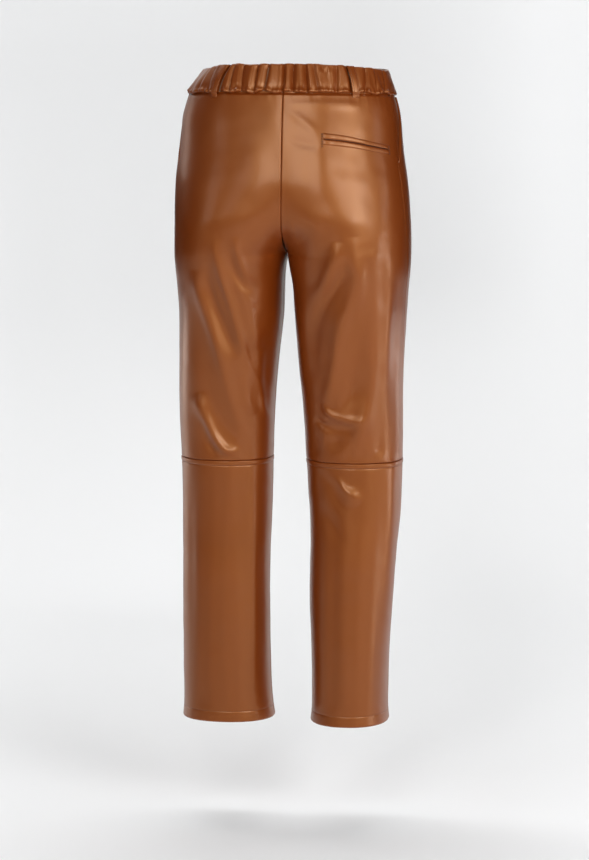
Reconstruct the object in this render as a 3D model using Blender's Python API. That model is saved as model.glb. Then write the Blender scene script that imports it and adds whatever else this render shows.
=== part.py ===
"""Straight, high-waisted faux leather trousers, held at the waist as when worn.

Units are metres, +Z is up, the front faces -Y and the wearer's left is +X.
The origin is the middle of the waist opening, halfway up the waistband.
Every panel is a thin wall over one surface, skin(), which is worked out from
the section tables below. A place on it is a side, a turn and a height. The turn
is the angle round that leg's section, from 0 at the inseam over the front to
0.5 at the side and on over the back to 1. Above the crotch the two legs' sections
run together, so each is cut off where it meets the centre seams, at edge().
"""
import math

import bmesh
import bpy
from mathutils import Vector

# ------------------------------------------------------------ cloth and seams
WALL = 0.0016              # faux leather with its knit backing
HEM_WALL = 0.0030          # the turned-up hem is two layers
SEAM_GAP = 0.0003          # pieces stand this far apart at a seam
FULLNESS = 2.2             # 2 is an ellipse, more is squarer
SIDES = {"left": 1.0, "right": -1.0}

# ------------------------------------------------------------ levels (height)
BAND_TOP = 0.022
WAIST_SEAM = -0.022
CROTCH = -0.256
KNEE_SEAM = -0.566
HEM = -0.966
HEM_TURN_UP = 0.016
HEM_STEP = 0.004           # height over which the turned-up layer ends
CROTCH_BLEND = 0.160       # height over which the two legs part
BACK_TILT = 0.076          # rise of the waist from front to back
LEFT_TILT = 0.014          # rise of the waist from right to left
TILT_FADE = (-0.130, -0.030)

VALLEY_STEEP = 1.2         # steepest slope taken out of the centre seams
VALLEY_WIDTH = 0.014       # and how far that rounding reaches

# ------------------------------------------------------------ waistband, loops
BAND_RISE = 0.0028         # crest of a gather above the panels
BAND_INSIDE = 0.0006       # inner face of the band, below the panels' outer face
FLAT_RISE = 0.0014         # front half of the band, which has no gathers
BAND_ROWS = (-0.0220, -0.0165, 0.0, 0.0165, 0.0220)
PINCH = 0.25               # part of a gather's rise that its sewn edges hold down
PUFF = 0.6                 # 1 is a round gather, less is flatter with tighter valleys
END_VALLEY = 0.0008        # depth of the gathers' last valley, at the side seam
LOOP_WIDTH = 0.0105
LOOP_WALL = 0.0016
LOOP_BOW = 0.0015          # how far a loop stands off the band halfway up
LOOP_BELOW = 0.0085        # the loop's sewn end, below the waist seam
LOOP_CLIMB = (0.0045, 0.0005)   # below the seam, where it climbs onto the band
LOOP_SHORT = 0.0005        # the loop's top end, below the band's edge
LOOP_STEPS = 5
# loop: side, turn at its foot, turn at its top
LOOPS = {
    "belt_loop_back_left": ("left", 0.639, 0.650),
    "belt_loop_back_right": ("right", 0.639, 0.6385),
    "belt_loop_front_left": ("left", 0.357, 0.357),
    "belt_loop_front_right": ("right", 0.357, 0.357),
}
# gathers: each valley's distance from the centre back at the waist seam
# (minus is the wearer's left), its shift at the top edge, and its depth
DISTANCE, SHIFT, DEPTH = range(3)
GATHERS = (
    (-0.1580, 0.006, 0.0012),
    (-0.1410, 0.008, 0.0010),
    (-0.1260, 0.010, 0.0012),
    (-0.1120, 0.012, 0.0008),
    (-0.0960, 0.012, 0.0022),
    (-0.0830, 0.004, 0.0018),
    (-0.0690, 0.008, 0.0020),
    (-0.0560, 0.006, 0.0014),
    (-0.0440, 0.004, 0.0022),
    (-0.0280, 0.003, 0.0022),
    (-0.0150, 0.001, 0.0012),
    (-0.0030, 0.002, 0.0022),
    (0.0110, 0.005, 0.0022),
    (0.0310, 0.005, 0.0022),
    (0.0430, 0.001, 0.0014),
    (0.0560, 0.004, 0.0010),
    (0.0680, 0.003, 0.0014),
    (0.0785, 0.001, 0.0018),
    (0.0890, 0.001, 0.0016),
    (0.0990, 0.002, 0.0022),
    (0.1130, 0.003, 0.0008),
    (0.1280, 0.004, 0.0014),
    (0.1440, 0.003, 0.0014),
    (0.1600, 0.004, 0.0012),
)
GATHER_STEPS = (0.0, 0.16, 0.5, 0.84)   # columns across each gather

# ------------------------------------------------------------ pockets
# back pocket, wearer's right: turn, and the heights of its edges and mouth there
TURN, UPPER_EDGE, MOUTH, LOWER_EDGE = range(4)
POCKET = (
    (0.6965, -0.0765, -0.0840, -0.0912),
    (0.6705, -0.0788, -0.0860, -0.0932),
    (0.6435, -0.0826, -0.0892, -0.0962),
    (0.6135, -0.0876, -0.0934, -0.1000),
    (0.5760, -0.0926, -0.0980, -0.1040),
)
WELT_WALL = 0.0013
WELT_STEPS = 12
WELT_GAP = 0.0008          # the mouth between the two welts
# slanted side pockets: the mouth starts this much of a turn in front of the
# side seam at the waist and meets the seam at MOUTH_END
MOUTH_START = 0.060
MOUTH_END = -0.118
FACING_UNDER = 0.015       # turn that the facing reaches under the front panel
FACING_BELOW = 0.010
FACING_ROWS = 6
FACING_COLUMNS = 5
FACING_CLEAR = 0.0010      # between the facing and the panel over it

# Section tables. Distances are from the origin: left, right and outer are
# across, front and back are in depth, centre is where the centre seam runs.
HEIGHT, LEFT, RIGHT, FRONT, BACK, CENTRE = range(6)
HIPS = (
    # height, left,   right,  front,  back,  centre
    (0.022, 0.1425, 0.1430, 0.0940, 0.0950, -0.001),
    (0.000, 0.1495, 0.1500, 0.0975, 0.0990, -0.001),
    (-0.022, 0.1555, 0.1565, 0.1005, 0.1035, -0.001),
    (-0.042, 0.1617, 0.1620, 0.1030, 0.1080, -0.001),
    (-0.060, 0.1660, 0.1650, 0.1050, 0.1120, -0.001),
    (-0.087, 0.1675, 0.1672, 0.1070, 0.1180, -0.001),
    (-0.117, 0.1705, 0.1712, 0.1080, 0.1240, -0.001),
    (-0.147, 0.1733, 0.1760, 0.1075, 0.1275, -0.001),
    (-0.190, 0.1747, 0.1795, 0.1050, 0.1280, 0.000),
    (-0.225, 0.1752, 0.1810, 0.1000, 0.1230, 0.002),
    (-0.256, 0.1752, 0.1812, 0.0940, 0.1160, 0.004),
)
LEG_HEIGHT, OUTER, INNER, LEG_FRONT, LEG_BACK = range(5)
LEGS = {
    "left": (
        # height, outer,  inner,  front,  back
        (-0.256, 0.1752, 0.0040, 0.0940, 0.1160),
        (-0.275, 0.1742, 0.0085, 0.0930, 0.1110),
        (-0.300, 0.1723, 0.0108, 0.0920, 0.1040),
        (-0.345, 0.1702, 0.0126, 0.0900, 0.0950),
        (-0.410, 0.1708, 0.0200, 0.0850, 0.0840),
        (-0.480, 0.1715, 0.0260, 0.0790, 0.0740),
        (-0.566, 0.1690, 0.0290, 0.0720, 0.0650),
        (-0.640, 0.1672, 0.0305, 0.0650, 0.0640),
        (-0.760, 0.1673, 0.0338, 0.0590, 0.0680),
        (-0.880, 0.1660, 0.0322, 0.0560, 0.0710),
        (-0.945, 0.1648, 0.0284, 0.0555, 0.0720),
        (-0.966, 0.1665, 0.0252, 0.0570, 0.0735),
    ),
    "right": (
        (-0.256, 0.1812, -0.0040, 0.0940, 0.1160),
        (-0.275, 0.1807, -0.0012, 0.0930, 0.1120),
        (-0.300, 0.1780, 0.0030, 0.0920, 0.1060),
        (-0.345, 0.1742, 0.0060, 0.0890, 0.0980),
        (-0.410, 0.1703, 0.0120, 0.0840, 0.0880),
        (-0.480, 0.1686, 0.0185, 0.0770, 0.0800),
        (-0.566, 0.1685, 0.0230, 0.0710, 0.0720),
        (-0.640, 0.1662, 0.0282, 0.0670, 0.0740),
        (-0.700, 0.1606, 0.0301, 0.0650, 0.0780),
        (-0.760, 0.1565, 0.0292, 0.0635, 0.0810),
        (-0.880, 0.1502, 0.0333, 0.0610, 0.0850),
        (-0.945, 0.1489, 0.0342, 0.0600, 0.0865),
        (-0.966, 0.1507, 0.0318, 0.0610, 0.0880),
    ),
}

# Where the side seam runs: height and turn, set back over the hip.
SIDE_SEAM = (
    (0.022, 0.536),
    (-0.118, 0.547),
    (-0.256, 0.535),
    (-0.566, 0.503),
    (-0.966, 0.500),
)

# Folds: a ridge of this rise, or a trough where it is negative, from one turn
# and height to another, bowed sideways by so many metres.
FOLD_FROM, FOLD_TOP, FOLD_TO, FOLD_END, FOLD_BOW, FOLD_WIDTH, FOLD_RISE = range(7)
GIRTH = 0.470              # of a leg, to measure the folds by
FOLDS = {
    "left": (
        # from,  height, to,    height,  bow,   width,  rise
        (0.742, -0.235, 0.955, -0.505, -0.021, 0.013, 0.0045),
        (0.800, -0.235, 0.885, -0.330, 0.000, 0.013, 0.0030),
        (0.845, -0.285, 0.855, -0.385, 0.000, 0.022, 0.0025),
        (0.700, -0.265, 0.872, -0.562, -0.003, 0.012, 0.0050),
        (0.690, -0.450, 0.835, -0.562, -0.014, 0.011, 0.0050),
        (0.722, -0.245, 0.815, -0.415, 0.000, 0.012, -0.0040),
        (0.790, -0.240, 0.835, -0.345, 0.000, 0.010, -0.0030),
        (0.725, -0.370, 0.815, -0.545, 0.000, 0.014, -0.0035),
        (0.050, -0.262, 0.320, -0.330, 0.012, 0.014, 0.0035),
        (0.060, -0.300, 0.260, -0.420, 0.010, 0.013, 0.0025),
        (0.150, -0.470, 0.350, -0.560, -0.010, 0.013, 0.0030),
    ),
    "right": (
        (0.735, -0.235, 0.850, -0.365, 0.000, 0.013, 0.0030),
        (0.722, -0.245, 0.830, -0.455, -0.006, 0.013, -0.0045),
        (0.705, -0.265, 0.828, -0.505, -0.007, 0.016, 0.0050),
        (0.665, -0.295, 0.740, -0.505, 0.000, 0.014, -0.0040),
        (0.640, -0.285, 0.705, -0.560, -0.020, 0.020, 0.0030),
        (0.850, -0.478, 0.700, -0.500, 0.000, 0.009, 0.0035),
        (0.870, -0.505, 0.730, -0.512, 0.000, 0.009, -0.0030),
        (0.810, -0.578, 0.690, -0.635, 0.000, 0.010, 0.0035),
        (0.845, -0.572, 0.740, -0.638, 0.000, 0.009, -0.0025),
        (0.050, -0.268, 0.300, -0.345, 0.010, 0.014, 0.0035),
        (0.060, -0.310, 0.240, -0.430, 0.008, 0.013, 0.0025),
        (0.130, -0.480, 0.330, -0.558, -0.008, 0.013, 0.0030),
    ),
}

# ------------------------------------------------------------ grids of points
WAIST_ROWS = 9             # waist seam to CROTCH_TOP
CROTCH_TOP = -0.192
CROTCH_ROWS = 6            # closer together towards the inseam
THIGH_ROWS = 13
THIGH_GROWTH = 1.25        # each row a little taller than the one above
SHIN_ROWS = 9
BACK_COLUMNS = 16
FRONT_COLUMNS = 14
BAND_COLUMNS = 14          # from a side seam to the centre front
PROBE = 0.0015             # step used to measure the skin's slope
RULER_STEP = 0.002         # turn between the marks along the waistband
RULER_REACH = 0.25         # turn that the marks cover, past the side seam


def read(table, column, height):
    """One column of a table at a height, by a monotone cubic through its rows."""
    if height >= table[0][0]:
        return table[0][column]
    if height <= table[-1][0]:
        return table[-1][column]
    below = next(i for i, row in enumerate(table) if row[0] <= height)
    above = below - 1

    def slope(first):
        return ((table[first + 1][column] - table[first][column])
                / (table[first + 1][0] - table[first][0]))

    def tangent(index):
        if index == 0:
            return slope(0)
        if index == len(table) - 1:
            return slope(index - 1)
        before, after = slope(index - 1), slope(index)
        if before * after <= 0.0:
            return 0.0
        return 2.0 * before * after / (before + after)

    span = table[below][0] - table[above][0]
    part = (height - table[above][0]) / span
    return ((1 + 2 * part) * (1 - part) ** 2 * table[above][column]
            + part * (1 - part) ** 2 * span * tangent(above)
            + part ** 2 * (3 - 2 * part) * table[below][column]
            - part ** 2 * (1 - part) * span * tangent(below))


def ease(low, high, value):
    """0 below low, 1 above high, and a smooth step between them."""
    part = min(max((value - low) / (high - low), 0.0), 1.0)
    return part * part * (3.0 - 2.0 * part)


def bulge(value):
    """The squarer sine or cosine of a superellipse."""
    return math.copysign(abs(value) ** (2.0 / FULLNESS), value)


def overlap(height):
    """How far each leg's section reaches over the middle: 1 where it ends there,
    at the crotch, and 0 from CROTCH_BLEND above it."""
    return (1.0 - min((height - CROTCH) / CROTCH_BLEND, 1.0)) ** 2


def edge(height):
    """The turn at which a section is cut off by the centre seam: 0 on the legs."""
    if height <= CROTCH:
        return 0.0
    return math.acos(overlap(height) ** (FULLNESS / 2.0)) / (2.0 * math.pi)


def skin(side, turn, height):
    """A point on the outer face of one side of the trousers."""
    way = SIDES[side]
    angle = 2.0 * math.pi * turn
    if height > CROTCH:
        middle = read(HIPS, CENTRE, height)
        reach = read(HIPS, LEFT if side == "left" else RIGHT, height) - way * middle
        half = reach / (1.0 + overlap(height))
        offset = reach - half
        front, back = read(HIPS, FRONT, height), read(HIPS, BACK, height)
    else:
        middle = 0.0
        outer, inner, front, back = (read(LEGS[side], column, height)
                                     for column in (OUTER, INNER, LEG_FRONT, LEG_BACK))
        half = (outer - inner) / 2.0
        offset = (outer + inner) / 2.0
    depth = (front + back) / 2.0
    across = offset - half * bulge(math.cos(angle))
    deep = (back - front) / 2.0 - depth * bulge(math.sin(angle))
    start = 2.0 * math.pi * edge(height)
    if start > 0.0:
        steep = min(depth / half / math.tan(max(start, 0.1)), VALLEY_STEEP)
        width = VALLEY_WIDTH * math.sqrt(1.0 - overlap(height))
        dip = steep * across * math.exp(-abs(across) / max(width, 0.001))
        deep += dip if turn < 0.5 else -dip
    outward = Vector((-math.cos(angle) / half, -math.sin(angle) / depth)).normalized()
    lift = folds(side, turn, height)
    across += lift * outward.x
    deep += lift * outward.y
    x = middle + way * (across + SEAM_GAP / 2.0)
    tilt = ease(*TILT_FADE, height) * (BACK_TILT * deep + LEFT_TILT * x)
    return Vector((x, deep, height + tilt))


def folds(side, turn, height):
    """How far the folds lift the cloth at one place."""
    lift = 0.0
    for row in FOLDS[side]:
        run = Vector(((row[FOLD_TO] - row[FOLD_FROM]) * GIRTH, row[FOLD_END] - row[FOLD_TOP]))
        here = Vector(((turn - row[FOLD_FROM]) * GIRTH, height - row[FOLD_TOP]))
        along = here.dot(run) / run.length_squared
        if not 0.0 < along < 1.0:
            continue
        away = (here.y * run.x - here.x * run.y) / run.length
        away -= row[FOLD_BOW] * 4.0 * along * (1.0 - along)
        lift += (row[FOLD_RISE] * math.sin(math.pi * along)
                 * math.exp(-(away / row[FOLD_WIDTH]) ** 2))
    return lift


def face_out(place):
    """The skin's outward direction at a place, and metres for a whole turn."""
    side, turn, height = place
    ahead = skin(side, turn + PROBE, height) - skin(side, turn - PROBE, height)
    up = skin(side, turn, height + PROBE) - skin(side, turn, height - PROBE)
    outward = ahead.cross(up).normalized() * SIDES[side]
    return outward, ahead.length / (2.0 * PROBE)


def beside(place, distance):
    """The place this far further round, measured on the cloth."""
    side, turn, height = place
    return side, turn + distance / face_out(place)[1], height


def layer(places, rise):
    """The points of a grid of places, moved out by rise(place)."""
    return [[skin(*place) + face_out(place)[0] * rise(place) for place in row]
            for row in places]


def leather(name):
    """The finish of one piece: cognac faux leather."""
    material = bpy.data.materials.new(name + "_leather")
    material.use_nodes = True
    shader = material.node_tree.nodes["Principled BSDF"]
    shader.inputs["Base Color"].default_value = (0.300, 0.095, 0.034, 1.0)
    shader.inputs["Roughness"].default_value = 0.42
    shader.inputs["Metallic"].default_value = 0.0
    return material


def wall(name, outer, inner):
    """One closed piece between two grids of points."""
    rows, columns = len(outer), len(outer[0])
    mesh = bmesh.new()
    grids = [[[mesh.verts.new(point) for point in row] for row in grid]
             for grid in (outer, inner)]
    for grid in grids:
        for j in range(rows - 1):
            for i in range(columns - 1):
                mesh.faces.new((grid[j][i], grid[j][i + 1], grid[j + 1][i + 1], grid[j + 1][i]))
    out, back = grids
    for j in range(rows - 1):
        for i in (0, columns - 1):
            mesh.faces.new((out[j][i], out[j + 1][i], back[j + 1][i], back[j][i]))
    for i in range(columns - 1):
        for j in (0, rows - 1):
            mesh.faces.new((out[j][i], out[j][i + 1], back[j][i + 1], back[j][i]))
    bmesh.ops.recalc_face_normals(mesh, faces=mesh.faces)
    if mesh.calc_volume(signed=True) < 0.0:
        bmesh.ops.reverse_faces(mesh, faces=mesh.faces)
    data = bpy.data.meshes.new(name)
    mesh.to_mesh(data)
    mesh.free()
    data.shade_smooth()
    data.set_sharp_from_angle(angle=math.radians(40.0))
    data.materials.append(leather(name))
    piece = bpy.data.objects.new(name, data)
    bpy.context.scene.collection.objects.link(piece)
    return piece


def sheet(name, places, rise, depth):
    """A piece of cloth over a grid of places, from rise(place) inwards by depth."""
    return wall(name, layer(places, rise), layer(places, lambda place: rise(place) - depth(place)))


def upper_rows():
    """Heights of the upper panels' rows, each at its inner end and at the side."""
    top = WAIST_SEAM - SEAM_GAP / 2.0
    rows = [(top + (CROTCH_TOP - top) * i / WAIST_ROWS,) * 2 for i in range(WAIST_ROWS)]
    for i in range(CROTCH_ROWS):
        part = i / CROTCH_ROWS
        inner = CROTCH + (CROTCH_TOP - CROTCH) * (1.0 - part) ** 2
        rows.append((inner, CROTCH_TOP + (CROTCH - CROTCH_TOP) * part))
    end = KNEE_SEAM + SEAM_GAP / 2.0
    for i in range(THIGH_ROWS + 1):
        rows.append((CROTCH + (end - CROTCH) * (i / THIGH_ROWS) ** THIGH_GROWTH,) * 2)
    return rows


def lower_rows():
    """Heights of the lower panels' rows, with a step where the hem is turned up."""
    top = KNEE_SEAM - SEAM_GAP / 2.0
    turn = HEM + HEM_TURN_UP
    rows = [top + (turn + HEM_STEP - top) * i / SHIN_ROWS for i in range(SHIN_ROWS + 1)]
    return [(height, height) for height in rows + [turn, HEM]]


def side_seam(height):
    return read(SIDE_SEAM, 1, height)


def mouth(height):
    """Where the slanted pocket's mouth runs, or the side seam below it."""
    top = max(height - MOUTH_END, 0.0) / (WAIST_SEAM - MOUTH_END)
    return side_seam(height) - MOUTH_START * top


def panel_places(side, part, rows, columns, outer_line):
    """The grid of a panel, from the centre seam or inseam to outer_line(height).
    Seams keep half a gap on each side of them."""
    toward = 1.0 if part == "front" else -1.0
    places = []
    for inner, outer in rows:
        start = edge(inner) if part == "front" else 1.0 - edge(inner)
        end = outer_line(outer)
        row = []
        for i in range(columns + 1):
            across = i / columns
            level = outer + (inner - outer) * (1.0 - across) ** 2
            row.append((side, start + (end - start) * across, level))
        if inner <= CROTCH:
            row[0] = beside(row[0], toward * SEAM_GAP / 2.0)
        row[-1] = beside(row[-1], -toward * SEAM_GAP / 2.0)
        places.append(row)
    return places


def cloth_depth(place):
    """The panels' thickness, doubled in the hem."""
    return HEM_WALL if place[2] < HEM + HEM_TURN_UP + HEM_STEP / 2.0 else WALL


def make_panels(side):
    """The four panels of one side."""
    for level, rows in (("upper", upper_rows()), ("lower", lower_rows())):
        front = panel_places(side, "front", rows, FRONT_COLUMNS, mouth)
        back = panel_places(side, "back", rows, BACK_COLUMNS, side_seam)
        sheet("front_" + level + "_" + side, front, lambda place: 0.0, cloth_depth)
        sheet("back_" + level + "_" + side, back, lambda place: 0.0, cloth_depth)


def make_facing(side):
    """The cloth that shows in a slanted side pocket, sunk under the front panel."""
    top, end = WAIST_SEAM - SEAM_GAP / 2.0, MOUTH_END - FACING_BELOW
    places = []
    for j in range(FACING_ROWS + 1):
        height = top + (end - top) * j / FACING_ROWS
        start = mouth(height) - FACING_UNDER
        turns = [start + (side_seam(height) - start) * i / FACING_COLUMNS
                 for i in range(FACING_COLUMNS + 1)]
        row = [(side, turn, height) for turn in turns]
        row[-1] = beside(row[-1], -SEAM_GAP / 2.0)
        places.append(row)
    sheet("pocket_facing_" + side, places, lambda place: -WALL - FACING_CLEAR,
          lambda place: WALL)


def ruler(side):
    """Distances from the centre back along the band's middle, one for each
    RULER_STEP of a turn."""
    start = 1.0 - edge(0.0)
    marks = [0.0]
    for i in range(round(RULER_REACH / RULER_STEP)):
        near = skin(side, start - RULER_STEP * i, 0.0)
        marks.append(marks[-1] + (skin(side, start - RULER_STEP * (i + 1), 0.0) - near).length)
    return marks


def band_place(rulers, distance, height):
    """The place on the band this far from the centre back, minus to the left."""
    side = "left" if distance < 0.0 else "right"
    marks = rulers[side]
    index = next(i for i, mark in enumerate(marks) if mark > abs(distance)) - 1
    part = (abs(distance) - marks[index]) / (marks[index + 1] - marks[index])
    return side, 1.0 - edge(0.0) - RULER_STEP * (index + part), height


def seam_distance(marks):
    """How far the side seam is from the centre back, along the band."""
    steps = (1.0 - edge(0.0) - side_seam(0.0)) / RULER_STEP
    index = int(steps)
    return marks[index] + (steps - index) * (marks[index + 1] - marks[index])


def make_back_band():
    """The gathered half of the waistband, pillowed between its valleys over a
    plain inside."""
    rulers = {side: ruler(side) for side in SIDES}
    ends = (-seam_distance(rulers["left"]), seam_distance(rulers["right"]))
    valleys = [(ends[0] + SEAM_GAP / 2.0, 0.0, END_VALLEY), *GATHERS,
               (ends[1] - SEAM_GAP / 2.0, 0.0, END_VALLEY)]
    places, rises = [], []
    for height in BAND_ROWS:
        level = (height - WAIST_SEAM) / (BAND_TOP - WAIST_SEAM)
        pinch = 1.0 - PINCH * (1.0 - math.sin(math.pi * level))
        row, rise = [], []
        for near, far in zip(valleys, valleys[1:]):
            for part in GATHER_STEPS:
                here = [a + (b - a) * part for a, b in zip(near, far)]
                puff = (4.0 * part * (1.0 - part)) ** PUFF
                row.append(band_place(rulers, here[DISTANCE] + here[SHIFT] * level, height))
                rise.append(BAND_RISE * pinch - here[DEPTH] * (1.0 - puff))
        row.append(band_place(rulers, valleys[-1][DISTANCE], height))
        rise.append(BAND_RISE * pinch - END_VALLEY)
        places.append(row)
        rises.append(rise)
    outer = [[skin(*place) + face_out(place)[0] * rise for place, rise in zip(row, lifts)]
             for row, lifts in zip(places, rises)]
    inner = layer(places, lambda place: -BAND_INSIDE)
    wall("waistband_back", outer, inner)


def make_front_band():
    """The flat half of the waistband, from side seam to side seam."""
    middle, seam = edge(0.0), side_seam(0.0)
    turns = [seam + (middle - seam) * i / BAND_COLUMNS for i in range(BAND_COLUMNS)]
    places = []
    for height in BAND_ROWS:
        row = [("left", turn, height) for turn in turns]
        row += [("right", middle, height)] + [("right", turn, height) for turn in turns[::-1]]
        row[0] = beside(row[0], -SEAM_GAP / 2.0)
        row[-1] = beside(row[-1], -SEAM_GAP / 2.0)
        places.append(row)
    sheet("waistband_front", places, lambda place: FLAT_RISE,
          lambda place: FLAT_RISE + BAND_INSIDE)


def make_loop(name, side, foot, top):
    """A belt loop: flat on the panel at its foot, then bowed over the band."""
    band = (BAND_RISE if "back" in name else FLAT_RISE) + SEAM_GAP
    low, high = WAIST_SEAM - LOOP_BELOW, BAND_TOP - LOOP_SHORT
    profile = [(low, SEAM_GAP), (WAIST_SEAM - LOOP_CLIMB[0], SEAM_GAP),
               (WAIST_SEAM - LOOP_CLIMB[1], band)]
    for i in range(1, LOOP_STEPS + 1):
        height = WAIST_SEAM + (high - WAIST_SEAM) * i / LOOP_STEPS
        profile.append((height, band + LOOP_BOW * math.sin(math.pi * i / LOOP_STEPS)))
    places, stand = [], {}
    for height, off in profile:
        part = (height - low) / (high - low)
        middle = (side, foot + (top - foot) * part, height)
        places.append([beside(middle, LOOP_WIDTH * (i / 2.0 - 0.5)) for i in range(3)])
        stand[height] = off
    sheet(name, places, lambda place: stand[place[2]] + LOOP_WALL, lambda place: LOOP_WALL)


def make_welts():
    """The two welts of the back pocket, lying on the right back panel."""
    for name, upper, lower in (("pocket_welt_upper", UPPER_EDGE, MOUTH),
                               ("pocket_welt_lower", MOUTH, LOWER_EDGE)):
        rows = []
        for i in range(WELT_STEPS + 1):
            turn = POCKET[0][TURN] + (POCKET[-1][TURN] - POCKET[0][TURN]) * i / WELT_STEPS
            high, low = read(POCKET, upper, turn), read(POCKET, lower, turn)
            if name.endswith("upper"):
                low += WELT_GAP / 2.0
            else:
                high -= WELT_GAP / 2.0
            rows.append([("right", turn, level) for level in (high, (high + low) / 2.0, low)])
        sheet(name, rows, lambda place: SEAM_GAP + WELT_WALL, lambda place: WELT_WALL)


def main():
    for old in list(bpy.data.objects):
        bpy.data.objects.remove(old)
    for side in SIDES:
        make_panels(side)
        make_facing(side)
    make_back_band()
    make_front_band()
    for name, (side, foot, top) in LOOPS.items():
        make_loop(name, side, foot, top)
    make_welts()


main()
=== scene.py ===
"""Straight, high-waisted faux leather trousers, posed as worn and seen from behind.

Units are metres, +Z is up, the front faces -Y and the wearer's left is +X.
Each piece is a thin closed shell over one surface, cloth(). A place on that
surface is a side, a turn and a height. The turn is the angle round a leg's
section: 0 at the inseam, 0.25 in front, 0.5 at the side, 0.75 behind, 1 at the
inseam again. Above the crotch a section is cut off at the centre seams.
"""

import math

import bpy
import numpy as np
from bpy.props import FloatProperty, FloatVectorProperty, PointerProperty
from bpy.types import Operator, Panel, PropertyGroup
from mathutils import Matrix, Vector


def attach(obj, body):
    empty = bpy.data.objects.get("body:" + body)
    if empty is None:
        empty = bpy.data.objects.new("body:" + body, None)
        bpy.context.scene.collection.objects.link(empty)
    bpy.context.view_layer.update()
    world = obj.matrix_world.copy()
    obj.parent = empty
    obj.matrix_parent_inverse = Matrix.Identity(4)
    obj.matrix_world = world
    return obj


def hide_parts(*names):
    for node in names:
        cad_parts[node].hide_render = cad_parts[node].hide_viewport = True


bl_info = {
    "name": "Faux Leather Trousers",
    "version": (1, 0, 0),
    "blender": (4, 5, 0),
    "location": "3D Viewport > Sidebar > Trousers",
    "description": "Builds a pair of straight faux leather trousers, piece by piece",
    "category": "Object",
}

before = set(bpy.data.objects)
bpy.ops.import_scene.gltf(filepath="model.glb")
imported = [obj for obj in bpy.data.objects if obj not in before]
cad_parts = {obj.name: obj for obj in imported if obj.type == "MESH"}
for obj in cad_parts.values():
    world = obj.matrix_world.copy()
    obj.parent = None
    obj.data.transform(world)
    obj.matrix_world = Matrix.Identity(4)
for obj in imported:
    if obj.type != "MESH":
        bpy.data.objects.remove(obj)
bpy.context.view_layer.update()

# ------------------------------------------------------------ levels (height)
BAND_TOP = 0.022
WAIST_SEAM = -0.022
BAND_HEIGHT = BAND_TOP - WAIST_SEAM
CROTCH = -0.256
KNEE_SEAM = -0.566
HEM = -0.966
# How the legs' sections part from each other above the crotch.
CROTCH_BLEND = 0.160
CROTCH_EASE = 0.05
# The waist rises: metres for each metre towards the back, and metres for all of it.
# There is no rise below the first height of TILT_FADE, and all of it above the second.
BACK_TILT = 0.076
WAIST_LIFT = 0.0036
TILT_FADE = (-0.130, -0.030)
# The valley between the two sides of the seat, and the power of every section.
VALLEY_STEEP = 1.2
VALLEY_WIDTH = 0.014
FULLNESS = 2.2
# Section tables are read in these steps and eased over so many of them each way.
TABLE_STEP = 0.0005
TABLE_EASE = 28
SIDES = {"left": 1.0, "right": -1.0}
SEAM_GAP = 0.0003
# How far the panels reach up under the waistband.
TUCK = 0.003

# Section tables, as in the solids.
HEIGHT, LEFT, RIGHT, FRONT, BACK, CENTRE = range(6)
HIPS = (
    # height, left,   right,  front,  back,  centre
    (0.022, 0.1425, 0.1430, 0.0940, 0.0950, -0.001),
    (0.000, 0.1495, 0.1500, 0.0975, 0.0990, -0.001),
    (-0.022, 0.1555, 0.1565, 0.1005, 0.1035, -0.001),
    (-0.042, 0.1617, 0.1620, 0.1030, 0.1080, -0.001),
    (-0.060, 0.1660, 0.1650, 0.1050, 0.1120, -0.001),
    (-0.087, 0.1675, 0.1672, 0.1070, 0.1180, -0.001),
    (-0.117, 0.1705, 0.1712, 0.1080, 0.1240, -0.001),
    (-0.147, 0.1733, 0.1760, 0.1075, 0.1275, -0.001),
    (-0.190, 0.1747, 0.1795, 0.1050, 0.1280, 0.000),
    (-0.225, 0.1752, 0.1810, 0.1000, 0.1230, 0.002),
    (-0.256, 0.1752, 0.1812, 0.0940, 0.1160, 0.004),
)
OUTER, INNER, LEG_FRONT, LEG_BACK = range(1, 5)
LEGS = {
    "left": (
        # height, outer,  inner,  front,  back
        (-0.256, 0.1752, 0.0040, 0.0940, 0.1160),
        (-0.275, 0.1742, 0.0085, 0.0930, 0.1110),
        (-0.300, 0.1723, 0.0108, 0.0920, 0.1040),
        (-0.345, 0.1702, 0.0126, 0.0900, 0.0950),
        (-0.410, 0.1708, 0.0200, 0.0850, 0.0840),
        (-0.480, 0.1715, 0.0260, 0.0790, 0.0740),
        (-0.566, 0.1690, 0.0290, 0.0720, 0.0650),
        (-0.640, 0.1672, 0.0305, 0.0650, 0.0640),
        (-0.760, 0.1673, 0.0338, 0.0590, 0.0680),
        (-0.880, 0.1660, 0.0322, 0.0560, 0.0710),
        (-0.945, 0.1648, 0.0284, 0.0555, 0.0720),
        (-0.966, 0.1665, 0.0252, 0.0570, 0.0735),
    ),
    "right": (
        (-0.256, 0.1812, -0.0040, 0.0940, 0.1160),
        (-0.275, 0.1807, -0.0012, 0.0930, 0.1120),
        (-0.300, 0.1780, 0.0030, 0.0920, 0.1060),
        (-0.345, 0.1742, 0.0060, 0.0890, 0.0980),
        (-0.410, 0.1703, 0.0120, 0.0840, 0.0880),
        (-0.480, 0.1686, 0.0185, 0.0770, 0.0800),
        (-0.566, 0.1685, 0.0230, 0.0710, 0.0720),
        (-0.640, 0.1662, 0.0282, 0.0670, 0.0740),
        (-0.700, 0.1606, 0.0301, 0.0650, 0.0780),
        (-0.760, 0.1565, 0.0292, 0.0635, 0.0810),
        (-0.880, 0.1502, 0.0333, 0.0610, 0.0850),
        (-0.945, 0.1489, 0.0342, 0.0600, 0.0865),
        (-0.966, 0.1507, 0.0318, 0.0610, 0.0880),
    ),
}
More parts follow.
